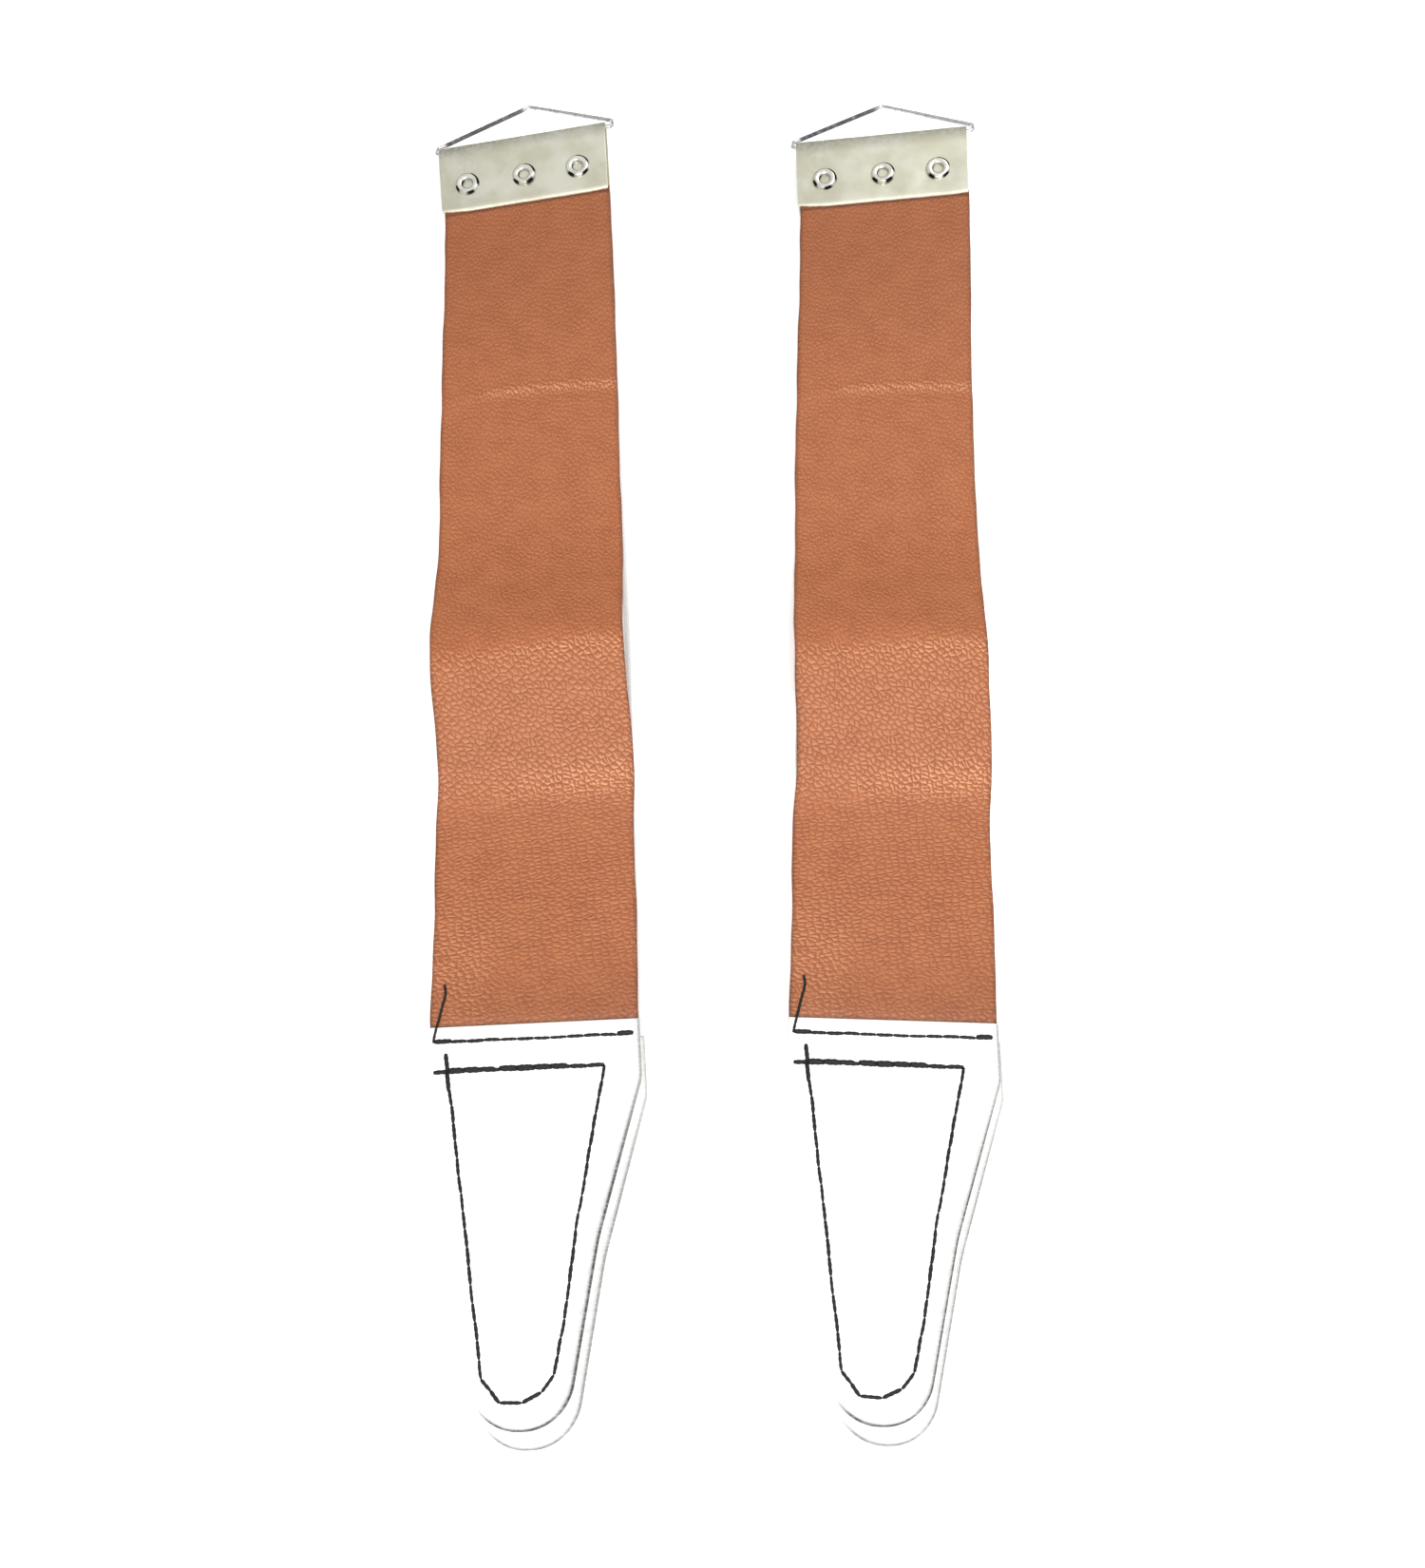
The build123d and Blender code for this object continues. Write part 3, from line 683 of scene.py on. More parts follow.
class Strap:
    """What the leather and canvas straps have in common."""

    def __init__(self, strop, kind, folds, fold_frame, bottom_v):
        """Takes the strap's places from its joint at the clamp and from its three folds."""
        self.strop = strop
        self.place = strop.flat
        self.bottom_v = bottom_v
        clamp = strop.joint(f"{kind}_clamp_bend", strop.clamp)
        crease, ridge, handle = (strop.joint(name, fold_frame) for name in folds)
        self.clamp_v, self.crease_v, self.ridge_v, self.handle_v = clamp.y, crease.y, ridge.y, handle.y
        self.clamped_z, self.laid_z, self.ridge_z, self.handle_z = clamp.z, crease.z, ridge.z, handle.z
        self.mouth_v = handle.y - HANDLE_INSET
        steps = ((SHOULDER_V, 0.1), (SHOULDER_V, -0.1), (self.mouth_v, 0.05), (self.mouth_v, -0.05))
        self.extra_rows = [v + beside for v, beside in steps] + [self.mouth_v + THINNING]

    def middle(self, u, v):
        """The middle surface: in the clamp's plane, ruled while it untwists, then laid flat."""

        def level(place, z, frame_of):
            return moved(np.stack([u, place + 0 * u, z + 0 * u], -1), frame_of)

        (top, top_reach), (bottom, bottom_reach) = TWIST_TOP, TWIST_BOTTOM
        clamp_frame = self.strop.clamp_in_flat
        ruled = level(bottom, self.laid_z, self.laid_frame) - level(top, self.clamped_z, clamp_frame)
        ruled_run = ruled / (bottom - top)
        clamped_run, laid_run = (np.array(f.col[1][:3]) for f in (clamp_frame, self.laid_frame))
        first, second = past(v - top, top_reach)[..., None], past(v - bottom, bottom_reach)[..., None]
        points = level(v, self.clamped_z, clamp_frame)
        points = points + (ruled_run - clamped_run) * first + (laid_run - ruled_run) * second
        points[..., 0] += self.sway(v)
        points[..., 2] += self.height(u, v) - self.laid_z
        return points

    def bend_point(self, v):
        """A point of the strap's centre line in the row frame."""
        middle = self.middle(np.array([0.0]), np.array([float(v)]))[0]
        return tuple(moved(middle, self.place))

    def length(self, v):
        """Distance along the strap from its top end."""
        fine = np.arange(STRAP_TOP_V, self.bottom_v - 1, -0.5)
        line = self.middle(np.zeros_like(fine), fine)
        run = np.concatenate([[0], np.cumsum(np.linalg.norm(np.diff(line, axis=0), axis=1))])
        return np.interp(-v, -fine, run)

    def edges(self, v):
        """The strap's left and right edge, narrower in the clamp and in the handle."""
        wobble = 0.12 * math.sin(v / 7.3) + 0.08 * math.sin(v / 3.1 + 2)
        if v > SHOULDER_V:
            return CLAMPED_EDGES
        if v < self.mouth_v:
            return -TONGUE_HALF_WIDTH, TONGUE_HALF_WIDTH
        return -HALF_WIDTH + wobble, HALF_WIDTH + 0.6 * wobble

    def thickness(self, v):
        """Full thickness, thinned down just before the handle."""
        full, thin = self.thicknesses
        return float(np.interp(v, (self.mouth_v, self.mouth_v + THINNING), (thin, full)))


class Leather(Strap):
    """The leather strap, arched over the canvas between its lower two creases."""

    def __init__(self, strop):
        folds = ("leather_upper_fold", "leather_ridge_fold", "front_handle_bend")
        super().__init__(strop, "leather", folds, strop.flat, LEATHER_BOTTOM_V)
        self.laid_frame = Matrix.Identity(4)
        self.materials = LEATHER
        self.thicknesses = (LEATHER_THICKNESS, LEATHER_TONGUE_THICKNESS)
        self.profile = (
            (self.bottom_v - 10, self.handle_z, 0),
            (self.handle_v, self.handle_z, 3),
            (HUMP_END_V, self.laid_z, 15),
            (self.ridge_v, self.ridge_z + 1.0, 8),
            (HUMP_START_V, self.laid_z, 16),
            (40, self.laid_z, 0),
        )

    def lean(self, v):
        """How much of the ridge's lean shows at v."""
        return np.interp(v, (-262, HUMP_END_V, self.ridge_v, HUMP_START_V), (0, 0.4, 1, 0))

    def sway(self, v):
        """How far the strap has slipped sideways at v."""
        upper = -0.3 * hill(v, -100, 40) - 0.7 * hill(v, -168, 17)
        return upper + 1.1 * hill(v, -208, 17) + 0.4 * hill(v, -250, 18)

    def height(self, u, v):
        leaning = v - RIDGE_LEAN * u / HALF_WIDTH * self.lean(v)
        return rounded_profile(self.profile, leaning)

    def crease_line(self, u):
        """Where the upper crease runs: a shallow arc, higher at the right."""
        return self.crease_v + 0.8 * np.cos(u / 12) - 0.4 + 0.09 * u

    def ridge_line(self, u):
        return self.ridge_v + RIDGE_LEAN * u / HALF_WIDTH

    def relief(self, u, v):
        """Shallow wrinkles of the upper face, strongest at the creases."""
        wrinkles = wander(u * 0.35, v, 1.9, 3.0)
        puckers = wander(u, v * 0.8, 9.0, 8.0)
        crease = hill(v, self.crease_line(u), 1.6)
        lower = hill(v, HUMP_END_V + 0.4 * u / 10, 7.0)
        arch = smooth((self.ridge_line(u) + 3 - v) / 5) * smooth((v - HUMP_END_V + 14) / 12)
        rough = 0.05 + 0.16 * crease + 0.09 * lower + 0.07 * arch
        fold = 0.28 * crease - 0.12 * hill(v, self.crease_line(u) - 3.2, 2.0)
        return rough * wrinkles + 0.12 * puckers + fold

    def values(self, u, v):
        """Vertex values for the shader: grain size, brightness with painted light and shade, and painted
        highlights at the creases.
        """
        from_ridge = v - self.ridge_line(u)
        below = smooth((HUMP_END_V + 9 - v + u / 9) / 14)
        coarse = np.interp(v, (-300, HUMP_END_V, self.crease_v, 0), (0.75, 0.85, 0.4, 0.2))
        coarse = np.where(v < self.ridge_v - 20, coarse, 0.5 - 0.3 * smooth((v + 150) / 140))
        arched = smooth((1.0 - from_ridge) / 3) * (1 - below)
        coarse = np.maximum(coarse * (1 - arched) + arched, 0)
        drawn = below * (1 - 0.5 * smooth((-262 - v) / 14))
        right = smooth((u + 22) / 40)
        # Painted highlight, stronger towards the right: over the upper crease, below the ridge, on the
        # arch, above the hump's lower end and at the left corner by the handle.
        crease = hill(v, self.crease_line(u) - 0.5, 1.7) * smooth((u + 24) / 20)
        below_ridge = hill(v, self.ridge_line(u) - 2.5, 3.0) * (0.15 + 0.75 * right)
        arch = smooth((self.ridge_line(u) + 1.5 - v) / 3) * smooth((v - HUMP_END_V + 3) / 8)
        above_end = hill(v, HUMP_END_V + 6 + u / 14, 5.5) * (0.1 + 0.9 * right)
        corner = smooth((-6 - u) / 14) * hill(v, self.handle_v + 12, 16)
        painted_highlight = 0.8 * crease + 0.6 * below_ridge + 0.7 * above_end + 0.28 * arch + 0.4 * corner + 0.1
        # Brightness along the strap: partly the leather's own tone, partly painted light and shade for how
        # each stretch faces the lamps.
        shade_and_tone = np.interp(
            v, (-285, -268, HUMP_END_V, self.ridge_v, -120, -75, -45, -28, 0),
            (0.79, 0.93, 0.99, 1.01, 0.97, 0.97, 0.89, 0.865, 0.86),
        )
        shade_and_tone = shade_and_tone - 0.02 * arch
        shade_and_tone = shade_and_tone * (1 - 0.42 * hill(u, HALF_WIDTH, 0.7)) * (1 - 0.42 * hill(u, -HALF_WIDTH, 0.7))
        # Painted shadow under the clamp's lip and at the handle's mouth.
        shade_and_tone = shade_and_tone * (1 - 0.65 * hill(v, -0.2, 0.55)) * (1 - 0.5 * hill(v, self.mouth_v, 0.6))
        shade_and_tone = shade_and_tone * (1 - 0.05 * smooth((u - 4) / 20) * hill(v, self.handle_v, 14))
        return {"coarse": coarse, "drawn": drawn, "shade_and_tone": shade_and_tone, "painted_highlight": np.clip(painted_highlight, 0, 1)}


class Canvas(Strap):
    """The canvas strap, which lies flat under the leather."""

    def __init__(self, strop):
        folds = ("canvas_upper_fold", "canvas_lower_fold", "back_handle_bend")
        super().__init__(strop, "canvas", folds, strop.drift, CANVAS_BOTTOM_V)
        self.laid_frame = strop.drift_in_flat
        self.materials = (CANVAS,)
        self.thicknesses = (CANVAS_THICKNESS, CANVAS_TONGUE_THICKNESS)
        self.profile = (
            (self.bottom_v - 10, self.handle_z, 0),
            (self.handle_v, self.handle_z, 3),
            (CANVAS_RISE_V, self.laid_z, 9),
            (40, self.laid_z, 0),
        )

    def sway(self, v):
        return 0.6 * hill(v, -160, 45)

    def height(self, u, v):
        return rounded_profile(self.profile, v)

    def relief(self, u, v):
        return 0.05 * wander(u, v, 11.0, 5.0)

    def values(self, u, v):
        """Painted shade: the cloth is greyer along the leather's edge, where the leather stands off it."""
        beside = smooth((u - 26.5) / 0.8) * (1 - smooth((u - 28.2) / 0.7))
        return {"painted_shade": 0.4 * beside * hill(v, self.ridge_v - 8, 52)}


def strap_pieces(strap, kind, handle_body, handle_bend):
    """A whole strap as four pieces, each spanning one joint, cut where nothing bends."""
    name = strap.strop.name
    labels = ("at_clamp", "at_crease", "at_ridge", "at_handle")
    places = (strap.clamp_v, strap.crease_v, strap.ridge_v, strap.handle_v)
    bends = (CLAMP_BEND, FOLD_BEND, FOLD_BEND, handle_bend)
    parts = ("clamp", f"{kind}_upper", f"{kind}_middle", f"{kind}_lower", handle_body)
    bodies = [name(part) for part in parts]
    nodes = (["clamped_end"], ["upper"], ["middle"], ["lower", "handle_end"])
    cuts = [STRAP_TOP_V, *((a + b) / 2 for a, b in zip(places, places[1:])), strap.bottom_v]
    made = []
    for k, label in enumerate(labels):
        piece = strap_piece(name(f"{kind}_strap_{label}"), strap, cuts[k], cuts[k + 1])
        start, end = (strap.bend_point(places[k] + reach) for reach in bends[k])
        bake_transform(piece)
        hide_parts(*(name(f"{kind}_{node}") for node in nodes[k]))
        made.append((piece, cuts[k] - cuts[k + 1]))
    return made


def leather_strap(strop):
    strap = Leather(strop)
    strap_pieces(strap, "leather", "front_handle", LEATHER_HANDLE_BEND)
    return strap


def canvas_strap(strop):
    for piece, length in strap_pieces(Canvas(strop), "canvas", "back_handle", CANVAS_HANDLE_BEND):
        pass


# ---------------------------------------------------------------- clamp, rivets, hanger


def clamp_sheet(strop):
    """The folded sheet: two plates over the straps' ends and a loop round the hanger's bar."""

    def bent(grow, lip):
        half, radius = POCKET_HALF + grow, LOOP_RADIUS + grow
        reach, rise = LOOP_V - POCKET_DEPTH, half
        lean = math.pi - math.atan2(rise, reach) - math.acos(radius / math.hypot(reach, rise))
        plate = [(y, half) for y in np.linspace(lip, POCKET_DEPTH, 20)]
        loop = [(LOOP_V + radius * math.cos(a), radius * math.sin(a)) for a in np.linspace(lean, -lean, 15)]
        return plate + loop + [(y, -z) for y, z in reversed(plate)]

    outer, inner = bent(SHEET, 0.14), bent(0.0, 0.14)
    rounding = [(0.04, -2.61), (0.0, -2.5), (0.0, -2.1), (0.04, -1.99)]
    section = np.array(outer + rounding + inner[::-1] + [(y, -z) for y, z in reversed(rounding)])
    xs = np.linspace(-CLAMP_HALF_WIDTH, CLAMP_HALF_WIDTH, 71) + CLAMP_OFFSET
    x = np.repeat(xs[:, None], len(section), 1)
    y, z = (np.repeat(section[None, :, k], len(xs), 0) for k in (0, 1))
    near_lip = np.clip(1 - y / 6, 0, 1)
    corner = np.clip((-19.5 - x) / 9, 0, 1) ** 1.5 + 0.3 * np.clip((x - 22) / 6, 0, 1) ** 2
    y = y + near_lip * (0.9 * corner + 0.1 * wander(x, x * 0, 5.0, 2.0)) * (z > 0)
    dent = sum(np.exp(-((x - rx) ** 2 + (y - RIVET_V) ** 2) / 30) for rx in RIVET_X)
    waves = wander(x, y * 1.2, 12.0, 6.0) + 0.4 * wander(x, y, 5.0, 9.0)
    flat_part = smooth((22 - y) / 4) * smooth(y / 3 + 0.5)
    press = flat_part * (0.16 * waves - 0.16 * dent)
    z = z + np.where(z > 0, press, -press * 0.6)
    from_middle = x - CLAMP_OFFSET
    flare = FOLD_FLARE * np.clip(y / LOOP_V, 0, 1) * smooth(abs(from_middle) / CLAMP_HALF_WIDTH)
    x = x + np.sign(from_middle) * flare
    # The fold value is painted light: dark reflection on the loop's outside and shade towards the left.
    fold = 0.45 * smooth((y - LOOP_V + 0.7) / 0.9) + 0.14 * smooth((-10 - x) / 12)
    # The lip value places a painted highlight along the sheet's lower edge.
    values = {"lip": hill(y, 0.3, 0.75), "fold": fold}
    points, faces = lofted(np.stack([x, y, z], -1))
    ends = clamp_ends(len(outer), len(section), len(xs))
    piece = make_mesh(strop.name("clamp_folded_sheet"), points, faces[:-2] + ends, strop.clamp,
                      [NICKEL], values=values, sharp=40)
    bevel = piece.modifiers.new("edge", "BEVEL")
    bevel.width = 0.1 * MM
    bevel.segments = 2
    bevel.limit_method = "ANGLE"
    bevel.angle_limit = math.radians(50)
    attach(piece, strop.name("clamp"))
    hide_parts(strop.name("clamp"))


def clamp_ends(outer, count, columns):
    """Faces that close the sheet's two side ends, from its outside to its inside."""
    rounding = (count - 2 * outer) // 2
    faces = []
    for start in (0, (columns - 1) * count):
        out = [start + k for k in range(outer)]
        back = [start + outer + rounding + k for k in range(outer)][::-1]
        faces += [(out[k], out[k + 1], back[k + 1], back[k]) for k in range(outer - 1)]
        low = [start + outer + k for k in range(rounding)]
        high = [start + 2 * outer + rounding + k for k in range(rounding)]
        faces.append((out[-1], *low, back[-1]))
        faces.append((back[0], *high, out[0]))
    return faces


def rivet_profile():
    """Half the section of a rivet: a rolled ring in front, a closed bore, a low head behind."""
    face, ring, bore, shank, foot = 2.65, 4.2, 1.65, 2.2, 3.3
    ring_rise, head_rise = 1.0, 0.8
    crown = (ring + bore) / 2
    floor = face - 0.9
    half_turn, quarter_turn = np.linspace(0, math.pi, 13), np.linspace(0, math.pi / 2, 8)[:-1]
    hollow = [(0, floor + 0.35), (0.35, floor + 0.3), (0.75, floor + 0.05), (1.2, floor)]
    hollow += [(bore - 0.12, floor + 0.1), (bore, floor + 0.4)]
    roll = [(crown - (crown - bore) * math.cos(a), face + ring_rise * math.sin(a)) for a in half_turn]
    side = [(ring - 0.08, face - 0.12), (shank, face - 0.14), (shank, -face)]
    head = [(foot * math.cos(a), -face - head_rise * math.sin(a)) for a in quarter_turn]
    return hollow + roll + side + head + [(0, -face - head_rise)]


def rivet_darkening(points, turn):
    """Painted dark reflections as arcs on the ring's outer slope, a painted shade line inside it and a
    painted shade spot in the bore.
    """
    reach = np.hypot(points[:, 0], points[:, 1])
    angle = np.degrees(np.arctan2(points[:, 1], points[:, 0])) - turn

    def arc(middle, half):
        return hill((angle - middle + 180) % 360 - 180, 0, half)

    arcs = arc(38, 42) + 0.6 * arc(-62, 26) + 0.7 * arc(-142, 22)
    slope = smooth((reach - 3.25) / 0.4) * arcs
    inner = hill(reach, 1.75, 0.3) * (0.3 + 0.7 * arc(-150, 60))
    spot = 0.55 * hill(reach, 0.2, 1.2)
    return np.clip(1.6 * slope + inner + spot, 0, 1) * (points[:, 2] > 0)


def clamp_rivets(strop):
    solid, faces = turned(rivet_profile())
    parts, painted_darkening = [], []
    for x, tilt, turn in zip(RIVET_X, (3, -2, 4), (-12, 6, 14)):
        lean = Matrix.Rotation(math.radians(tilt), 3, (1, 1, 0))
        parts.append((moved(solid, lean.to_4x4()) + (x, RIVET_V, 0), faces))
        painted_darkening.append(rivet_darkening(np.asarray(solid), turn))
    points, faces = joined(parts)
    piece = make_mesh(strop.name("clamp_rivet_set"), points, faces, strop.clamp, [RIVET_METAL],
                      values={"painted_darkening": np.concatenate(painted_darkening)}, sharp=60)
    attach(piece, strop.name("clamp"))
    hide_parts(strop.name("clamp_rivets"))


def hanger_wire(strop):
    path = filleted(HANGER_PATH, HANGER_RADII, 0.5)
    path = np.column_stack([path, np.zeros(len(path))])
    # Painted dark reflection along the left leg, faint on the right leg.
    left_leg = smooth((-0.5 - path[:, 0]) / 3) * smooth((path[:, 0] + 31) / 3)
    right_leg = smooth((path[:, 0] - 4) / 6) * smooth((29 - path[:, 0]) / 4)
    painted_darkening = np.repeat(0.62 * left_leg + 0.12 * right_leg, 20)
    points, faces = tube(path, WIRE_RADIUS, sides=20)
    piece = make_mesh(strop.name("hanger_bent_wire"), points, faces, strop.hanger, [WIRE_METAL],
                      values={"painted_darkening": painted_darkening})
    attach(piece, strop.name("hanger"))
    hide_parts(strop.name("hanger"))


# ---------------------------------------------------------------- handles and seams


def distance_to(sides, x, y):
    """Distance from places to the nearest of some straight sides."""
    best = np.full(np.shape(x), 1e9)
    for (ax, ay), (bx, by) in sides:
        run = np.array((bx - ax, by - ay))
        t = np.clip(((x - ax) * run[0] + (y - ay) * run[1]) / run.dot(run), 0, 1)
        best = np.minimum(best, np.hypot(x - ax - t * run[0], y - ay - t * run[1]))
    return best


def ply_height(x, y):
    """The outer face of a handle's ply above the face where the two plies meet."""
    seam = distance_to(SEWN_SIDES, x, y)
    dip = 0.3 * np.exp(-((seam / 0.9) ** 2)) + 0.14 * np.exp(-((seam / 3.0) ** 2))
    swell = 0.1 * wander(x, y, 14.0, 1.0) + 0.05 * wander(x, y, 4.5, 4.0)
    return PLY - dip + swell


def inset(outline, distance):
    """A closed outline moved inwards; the outline runs clockwise."""
    before, after = np.roll(outline, 1, 0), np.roll(outline, -1, 0)
    normals = []
    for a, b in ((before, outline), (outline, after)):
        run = (b - a) / np.linalg.norm(b - a, axis=1)[:, None]
        normals.append(np.stack([run[:, 1], -run[:, 0]], 1))
    total = normals[0] + normals[1]
    return outline + total / (1 + (normals[0] * normals[1]).sum(1))[:, None] * distance


def inside(polygon, x, y):
    """Which places lie inside a closed polygon."""
    hits = np.zeros(np.shape(x), bool)
    for (ax, ay), (bx, by) in zip(polygon, np.roll(polygon, -1, 0)):
        if ay != by:
            crosses = (ay > y) != (by > y)
            hits ^= crosses & (x < (bx - ax) * (y - ay) / (by - ay) + ax)
    return hits


def ply_shape():
    """A ply's points and faces in the handle's frame, its outer face up."""
    outline = filleted(HANDLE_OUTLINE, HANDLE_RADII, 1.4, closed=True)
    rings = [inset(outline, d) for d in (0.0, 0.3, 0.8)]
    plain = rings[-1]
    support = []
    for (ax, ay), (bx, by) in SEWN_SIDES:
        run = np.array((bx - ax, by - ay))
        long = np.linalg.norm(run)
        side = np.array((-run[1], run[0])) / long
        for t in np.linspace(0.03, 0.97, max(3, round(long / 1.5))):
            support += [np.array((ax, ay)) + run * t + side * reach for reach in (-1.7, -0.8, 0, 0.8, 1.7)]
    grid_x, grid_y = np.meshgrid(np.arange(-31, 31, 1.9), np.arange(-107, 1, 1.65))
    grid_x[::2] += 0.95
    grid = np.stack([grid_x.ravel(), grid_y.ravel()], 1)
    grid = grid[distance_to(SEWN_SIDES, grid[:, 0], grid[:, 1]) > 2.6]
    loose = np.concatenate([grid, support])
    deep = inset(outline, 1.6)
    loose = loose[inside(deep, loose[:, 0], loose[:, 1])]
    flat = np.concatenate([plain, loose])
    ring = list(range(len(plain)))
    made = delaunay_2d_cdt([Vector(p) for p in flat], [], [ring], 1, 1e-4)
    xy = np.array([tuple(p) for p in made[0]])
    index_of = {origin: k for k, origins in enumerate(made[3]) for origin in origins}
    top = np.column_stack([xy, ply_height(xy[:, 0], xy[:, 1])])
    in_pocket = (abs(xy[:, 0]) < POCKET_HALF_WIDTH) & (xy[:, 1] > POCKET_V)
    low = np.column_stack([xy, np.where(in_pocket, POCKET_GAP, 0.02)])
    count = len(xy)
    faces = [tuple(f) for f in made[2]] + [tuple(count + i for i in reversed(f)) for f in made[2]]
    points = [top, low]
    loops = [[index_of[i] for i in ring]]
    start = 2 * count
    wall = [(rings[1], PLY - 0.16), (rings[0], PLY - 0.5), (rings[0], 0.14), (rings[1], 0.02)]
    for line, z in wall:
        edge = np.column_stack([line, np.full(len(line), z)])
        if z < PLY / 2:
            mouth = (abs(line[:, 0]) < POCKET_HALF_WIDTH) & (line[:, 1] > -1)
            edge[:, 2] = np.where(mouth, POCKET_GAP, z)
        points.append(edge)
        loops.append(list(range(start, start + len(line))))
        start += len(line)
    loops.append([count + index_of[i] for i in ring])
    for a, b in zip(loops, loops[1:]):
        faces += [(a[k], a[(k + 1) % len(a)], b[(k + 1) % len(b)], b[k]) for k in range(len(a))]
    return np.concatenate(points), faces, outline, rim_shade(outline, loops, start)


def rim_shade(outline, loops, count):
    """How much painted shade a ply's rim gets: most on its right side, thin round its tip."""
    run = np.roll(outline, -1, 0) - np.roll(outline, 1, 0)
    run /= np.linalg.norm(run, axis=1)[:, None]
    right, tip = smooth((-run[:, 1] - 0.25) / 0.6), smooth((-run[:, 0] - 0.4) / 0.5)
    below_top = 0.7 + 0.3 * smooth((-14 - outline[:, 1]) / 30)
    painted_shade = np.zeros(count)
    for loop, side, end in zip(loops, (0.5, 1, 1, 1, 1, 0), (0.3, 1, 1, 1, 1, 0)):
        painted_shade[loop] = np.maximum(side * right * below_top, end * tip)
    return painted_shade


def enclosed_area(outline):
    x, y = outline.T
    return 0.5 * abs(np.sum(x * np.roll(y, -1) - np.roll(x, -1) * y))


PLY_POINTS, PLY_FACES, PLY_OUTLINE, PLY_SHADE = ply_shape()
PLY_AREA = enclosed_area(PLY_OUTLINE)


def stitch(start, end, rng, thick=1.0, aside=0.0):
    """One stitch on a ply's outer face: both ends dive into the cloth."""
    start, end = np.array(start, float), np.array(end, float)
    run = end - start
    side = np.array((-run[1], run[0])) / max(np.linalg.norm(run), 1e-6)
    bow = rng.uniform(-0.1, 0.1)
    path = []
    for t in np.linspace(0, 1, 13):
        flat = start + run * (0.005 + 0.99 * t) + side * (aside + bow * math.sin(math.pi * t))
        rise = 1 - (2 * t - 1) ** 12
        surface = ply_height(np.array([flat[0]]), np.array([flat[1]]))[0]
        path.append((*flat, surface - 0.5 + 0.62 * rise))
    ends = 1 - 0.35 * abs(2 * np.linspace(0, 1, 13) - 1) ** 10
    return tube(path, THREAD_RADIUS * thick * rng.uniform(0.86, 1.1) * ends, lobes=2)


def stitched_side(start, end, rng, locked=(), thick=1.0):
    """Stitches from start to end; back-stitched over the locked shares of the way."""
    start, end = np.array(start, float), np.array(end, float)
    run = end - start
    count = max(1, round(np.linalg.norm(run) / STITCH))
    jogs = [rng.uniform(-0.12, 0.12) if 0 < k < count else 0 for k in range(count + 1)]
    ends = [start + run * k / count + jog for k, jog in enumerate(jogs)]
    parts = [stitch(a, b, rng, thick) for a, b in zip(ends, ends[1:])]
    for low, high in locked:
        doubled = max(1, round((high - low) * np.linalg.norm(run) / STITCH))
        marks = [start + run * (low + (high - low) * k / doubled) for k in range(doubled + 1)]
        for a, b in zip(marks, marks[1:]):
            parts.append(stitch(a, b, rng, 1.15 * thick, 0.3 * thick))
    return parts


def cross_stitches():
    rng = random.Random(11)
    return joined(stitched_side(*CROSS_SIDE, rng, locked=((0.0, 0.09), (0.92, 1.0))))


def outline_stitches():
    rng = random.Random(23)
    parts = []
    for index, (start, end) in enumerate(SEAM_SIDES):
        locked = ((0.0, 0.3), (0.33, 0.76)) if index == 0 else ()
        if index == len(OUTLINE_SEAM) - 1:
            locked = ((0.93, 1.0),)
        parts += stitched_side(start, end, rng, locked, 1.3 if index == 0 else 1.0)
    for start, end in OVERSHOOTS:
        parts += [stitch(start, end, rng, 1.15), stitch(start, end, rng, 0.9, 0.2)]
    return joined(parts)


CROSS_STITCHES = cross_stitches()
OUTLINE_STITCHES = outline_stitches()


def handle(strop, name, place, hinge_name, rests_on, shade_strength):
    """A handle: two plies of cloth sewn together, with stitches on both outer faces."""
    hinge = strop.joint(hinge_name, place)
    body = strop.name(name)
    top = place @ Matrix.Translation((0, hinge.y - HANDLE_INSET, hinge.z))
    mirror = Matrix.Scale(-1, 4, (0, 0, 1))
    uvs = [PLY_POINTS[list(face), :2] for face in PLY_FACES]
    for label, turn in (("top", Matrix.Identity(4)), ("bottom", mirror)):
        # The ply rims carry painted shade, scaled for each handle.
        piece = make_mesh(strop.name(f"{name}_{label}_cloth"), PLY_POINTS, PLY_FACES, top @ turn,
                          [HANDLE_CLOTH], uvs=uvs, values={"painted_shade": PLY_SHADE * shade_strength})
        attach(piece, body)
        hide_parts(strop.name(f"{name}_{label}_ply"))
        width, length = np.ptp(PLY_OUTLINE, axis=0) * MM
    for label, (points, faces) in (("cross", CROSS_STITCHES), ("outline", OUTLINE_STITCHES)):
        below = moved(points, mirror)
        below[:, 2] = np.maximum(below[:, 2], -PLY - 0.05)
        both = joined([(points, faces), (below, faces)])
        piece = make_mesh(strop.name(f"{name}_{label}_stitches"), *both, top, [THREAD], sharp=70)
        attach(piece, body)
        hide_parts(strop.name(f"{name}_{label}_seam"))
    return top


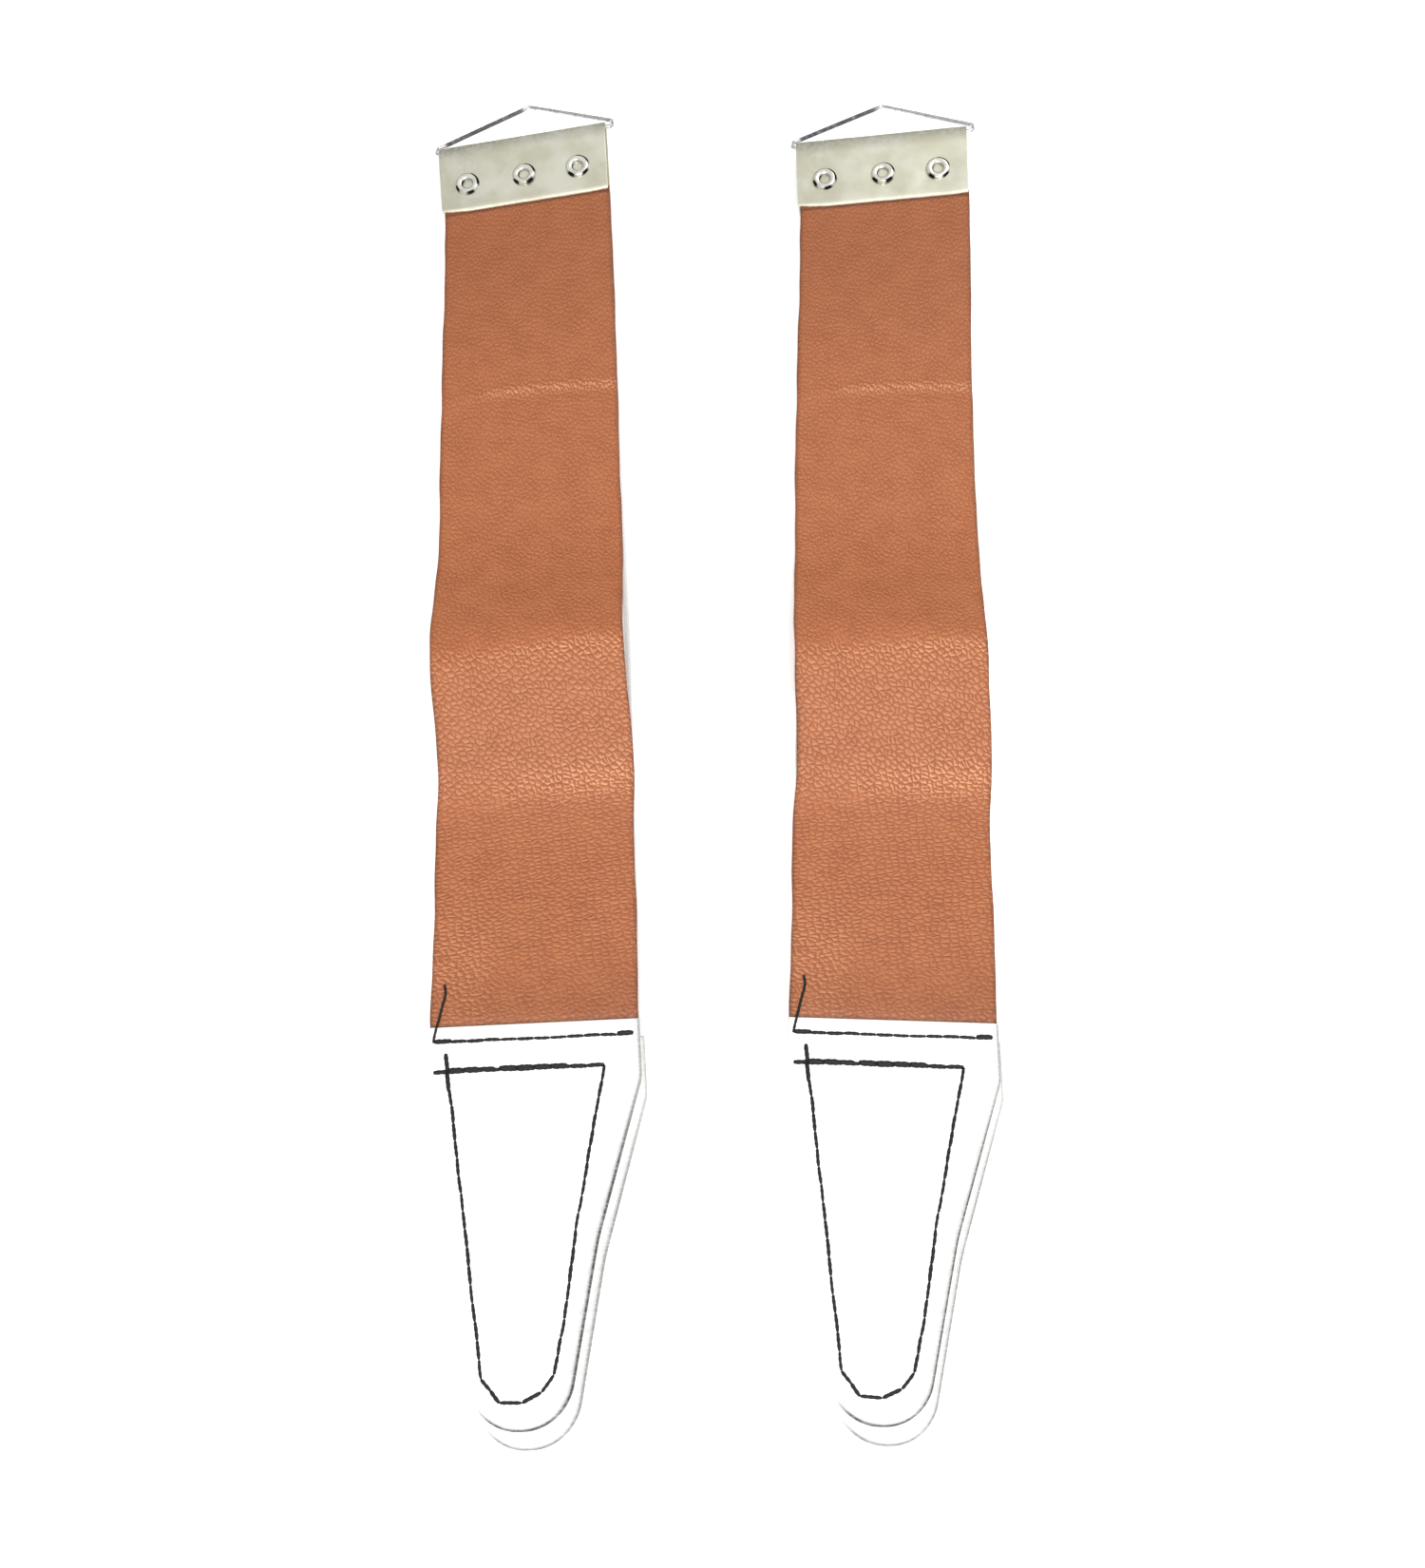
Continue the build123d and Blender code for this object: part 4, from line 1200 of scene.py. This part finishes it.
def thread_tail(strop, strap):
    """The cross seam's loose end, lying up over the handle's edge onto the leather."""
    mouth = strap.mouth_v
    route = np.array((
        (-28.0, mouth - 4.3), (-27.6, mouth - 2.2), (-27.0, mouth + 0.4), (-26.3, mouth + 3.4),
        (-25.6, mouth + 6.6), (-24.9, mouth + 8.8), (-24.9, mouth + 10.6), (-25.2, mouth + 12.2),
    ))
    fine = np.linspace(0, len(route) - 1, 46)
    steps = np.arange(len(route))
    u, v = (np.interp(fine, steps, route[:, k]) for k in (0, 1))
    for _ in range(3):
        u[1:-1] = (u[:-2] + 2 * u[1:-1] + u[2:]) / 4
        v[1:-1] = (v[:-2] + 2 * v[1:-1] + v[2:]) / 4
    on_leather = strap.middle(u, v)[:, 2] + LEATHER_THICKNESS / 2 + strap.relief(u, v) + 0.3
    hinge = strop.joint("front_handle_bend", strop.flat)
    on_handle = hinge.z + PLY + 0.28
    share = smooth((v - mouth + 0.3) / 2.6)
    z = on_handle * (1 - share) + on_leather * share
    z[:3] -= (0.6, 0.35, 0.1)
    points, faces = tube(np.stack([u, v, z], 1), TAIL_RADIUS, lobes=2)
    piece = make_mesh(strop.name("seam_loose_thread"), points, faces, strop.flat, [THREAD], sharp=70)
    start, end = (strap.bend_point(strap.handle_v + reach) for reach in LEATHER_HANDLE_BEND)
    strop.name("leather_lower")
    strop.name("front_handle")
    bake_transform(piece)
    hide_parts(strop.name("seam_thread_tail"))


# ---------------------------------------------------------------- stage


def make_floor():
    low, high, level = -FLOOR_HALF * MM, FLOOR_HALF * MM, FLOOR_Z * MM
    corners = [(low, low, level), (high, low, level), (high, high, level), (low, high, level)]
    mesh = bpy.data.meshes.new("floor")
    mesh.from_pydata(corners, [], [(0, 1, 2, 3)])
    mesh.materials.append(floor_paint())
    floor = bpy.data.objects.new("floor", mesh)
    bpy.context.scene.collection.objects.link(floor)


def make_camera():
    low, high = (Vector(corner) for corner in cad_bounds)
    middle = (low + high) / 2
    azimuth, elevation, roll = (math.radians(a) for a in (AZIMUTH, ELEVATION, ROLL))
    flat = math.cos(elevation)
    back = Vector((math.sin(azimuth) * flat, -math.cos(azimuth) * flat, math.sin(elevation)))
    right = Vector((math.cos(azimuth), math.sin(azimuth), 0))
    up = back.cross(right)
    leaned_right = right * math.cos(roll) + up * math.sin(roll)
    leaned_up = up * math.cos(roll) - right * math.sin(roll)
    turn = Matrix((leaned_right, leaned_up, back)).transposed().to_4x4()
    aim = Vector((middle.x + AIM[0], middle.y + AIM[1], AIM_HEIGHT))
    data = bpy.data.cameras.new("camera")
    data.lens = LENS
    data.sensor_width = 36.0
    data.clip_start = 0.01
    camera = bpy.data.objects.new("camera", data)
    camera.matrix_world = Matrix.Translation(aim + back * DISTANCE) @ turn
    bpy.context.scene.collection.objects.link(camera)
    bpy.context.scene.camera = camera


def soft_light(name, place, target, size, power):
    data = bpy.data.lights.new(name, "AREA")
    data.shape = "DISK"
    data.size = size
    data.energy = power
    light = bpy.data.objects.new(name, data)
    aim = Vector(target) - Vector(place)
    light.matrix_world = Matrix.Translation(place) @ aim.to_track_quat("-Z", "Y").to_matrix().to_4x4()
    bpy.context.scene.collection.objects.link(light)


def make_lights():
    soft_light("key", (0.08, -0.62, 0.95), (0, -0.03, 0), 0.5, 11.0)
    soft_light("fill", (0.5, 0.5, 1.0), (0, 0, 0), 0.9, 4.0)
    world = bpy.data.worlds.new("studio")
    bpy.context.scene.world = world
    world.use_nodes = True
    tree = world.node_tree
    background = tree.nodes["Background"]
    direction = tree.nodes.new("ShaderNodeTexCoord")
    split = tree.nodes.new("ShaderNodeSeparateXYZ")
    ramp = tree.nodes.new("ShaderNodeValToRGB")
    tree.links.new(direction.outputs["Generated"], split.inputs[0])
    tree.links.new(split.outputs["Z"], ramp.inputs[0])
    tree.links.new(ramp.outputs[0], background.inputs["Color"])
    ramp.color_ramp.elements[0].position = 0.05
    ramp.color_ramp.elements[0].color = (0.16, 0.16, 0.165, 1)
    ramp.color_ramp.elements[1].position = 0.6
    ramp.color_ramp.elements[1].color = (0.9, 0.9, 0.91, 1)
    background.inputs["Strength"].default_value = 0.85
    bpy.context.scene.view_settings.view_transform = "Standard"


def make_strop(side):
    strop = Strop(side)
    strap = leather_strap(strop)
    canvas_strap(strop)
    clamp_sheet(strop)
    clamp_rivets(strop)
    hanger_wire(strop)
    # The last number is how strong the painted shade on each handle's rims is.
    handle(strop, "front_handle", strop.flat, "front_handle_bend", strop.name("back_handle_top_cloth"), 1.0)
    handle(strop, "back_handle", strop.drift, "back_handle_bend", "floor", 0.78)
    thread_tail(strop, strap)


make_camera()
make_lights()
make_floor()
for each_side in ("left", "right"):
    make_strop(each_side)
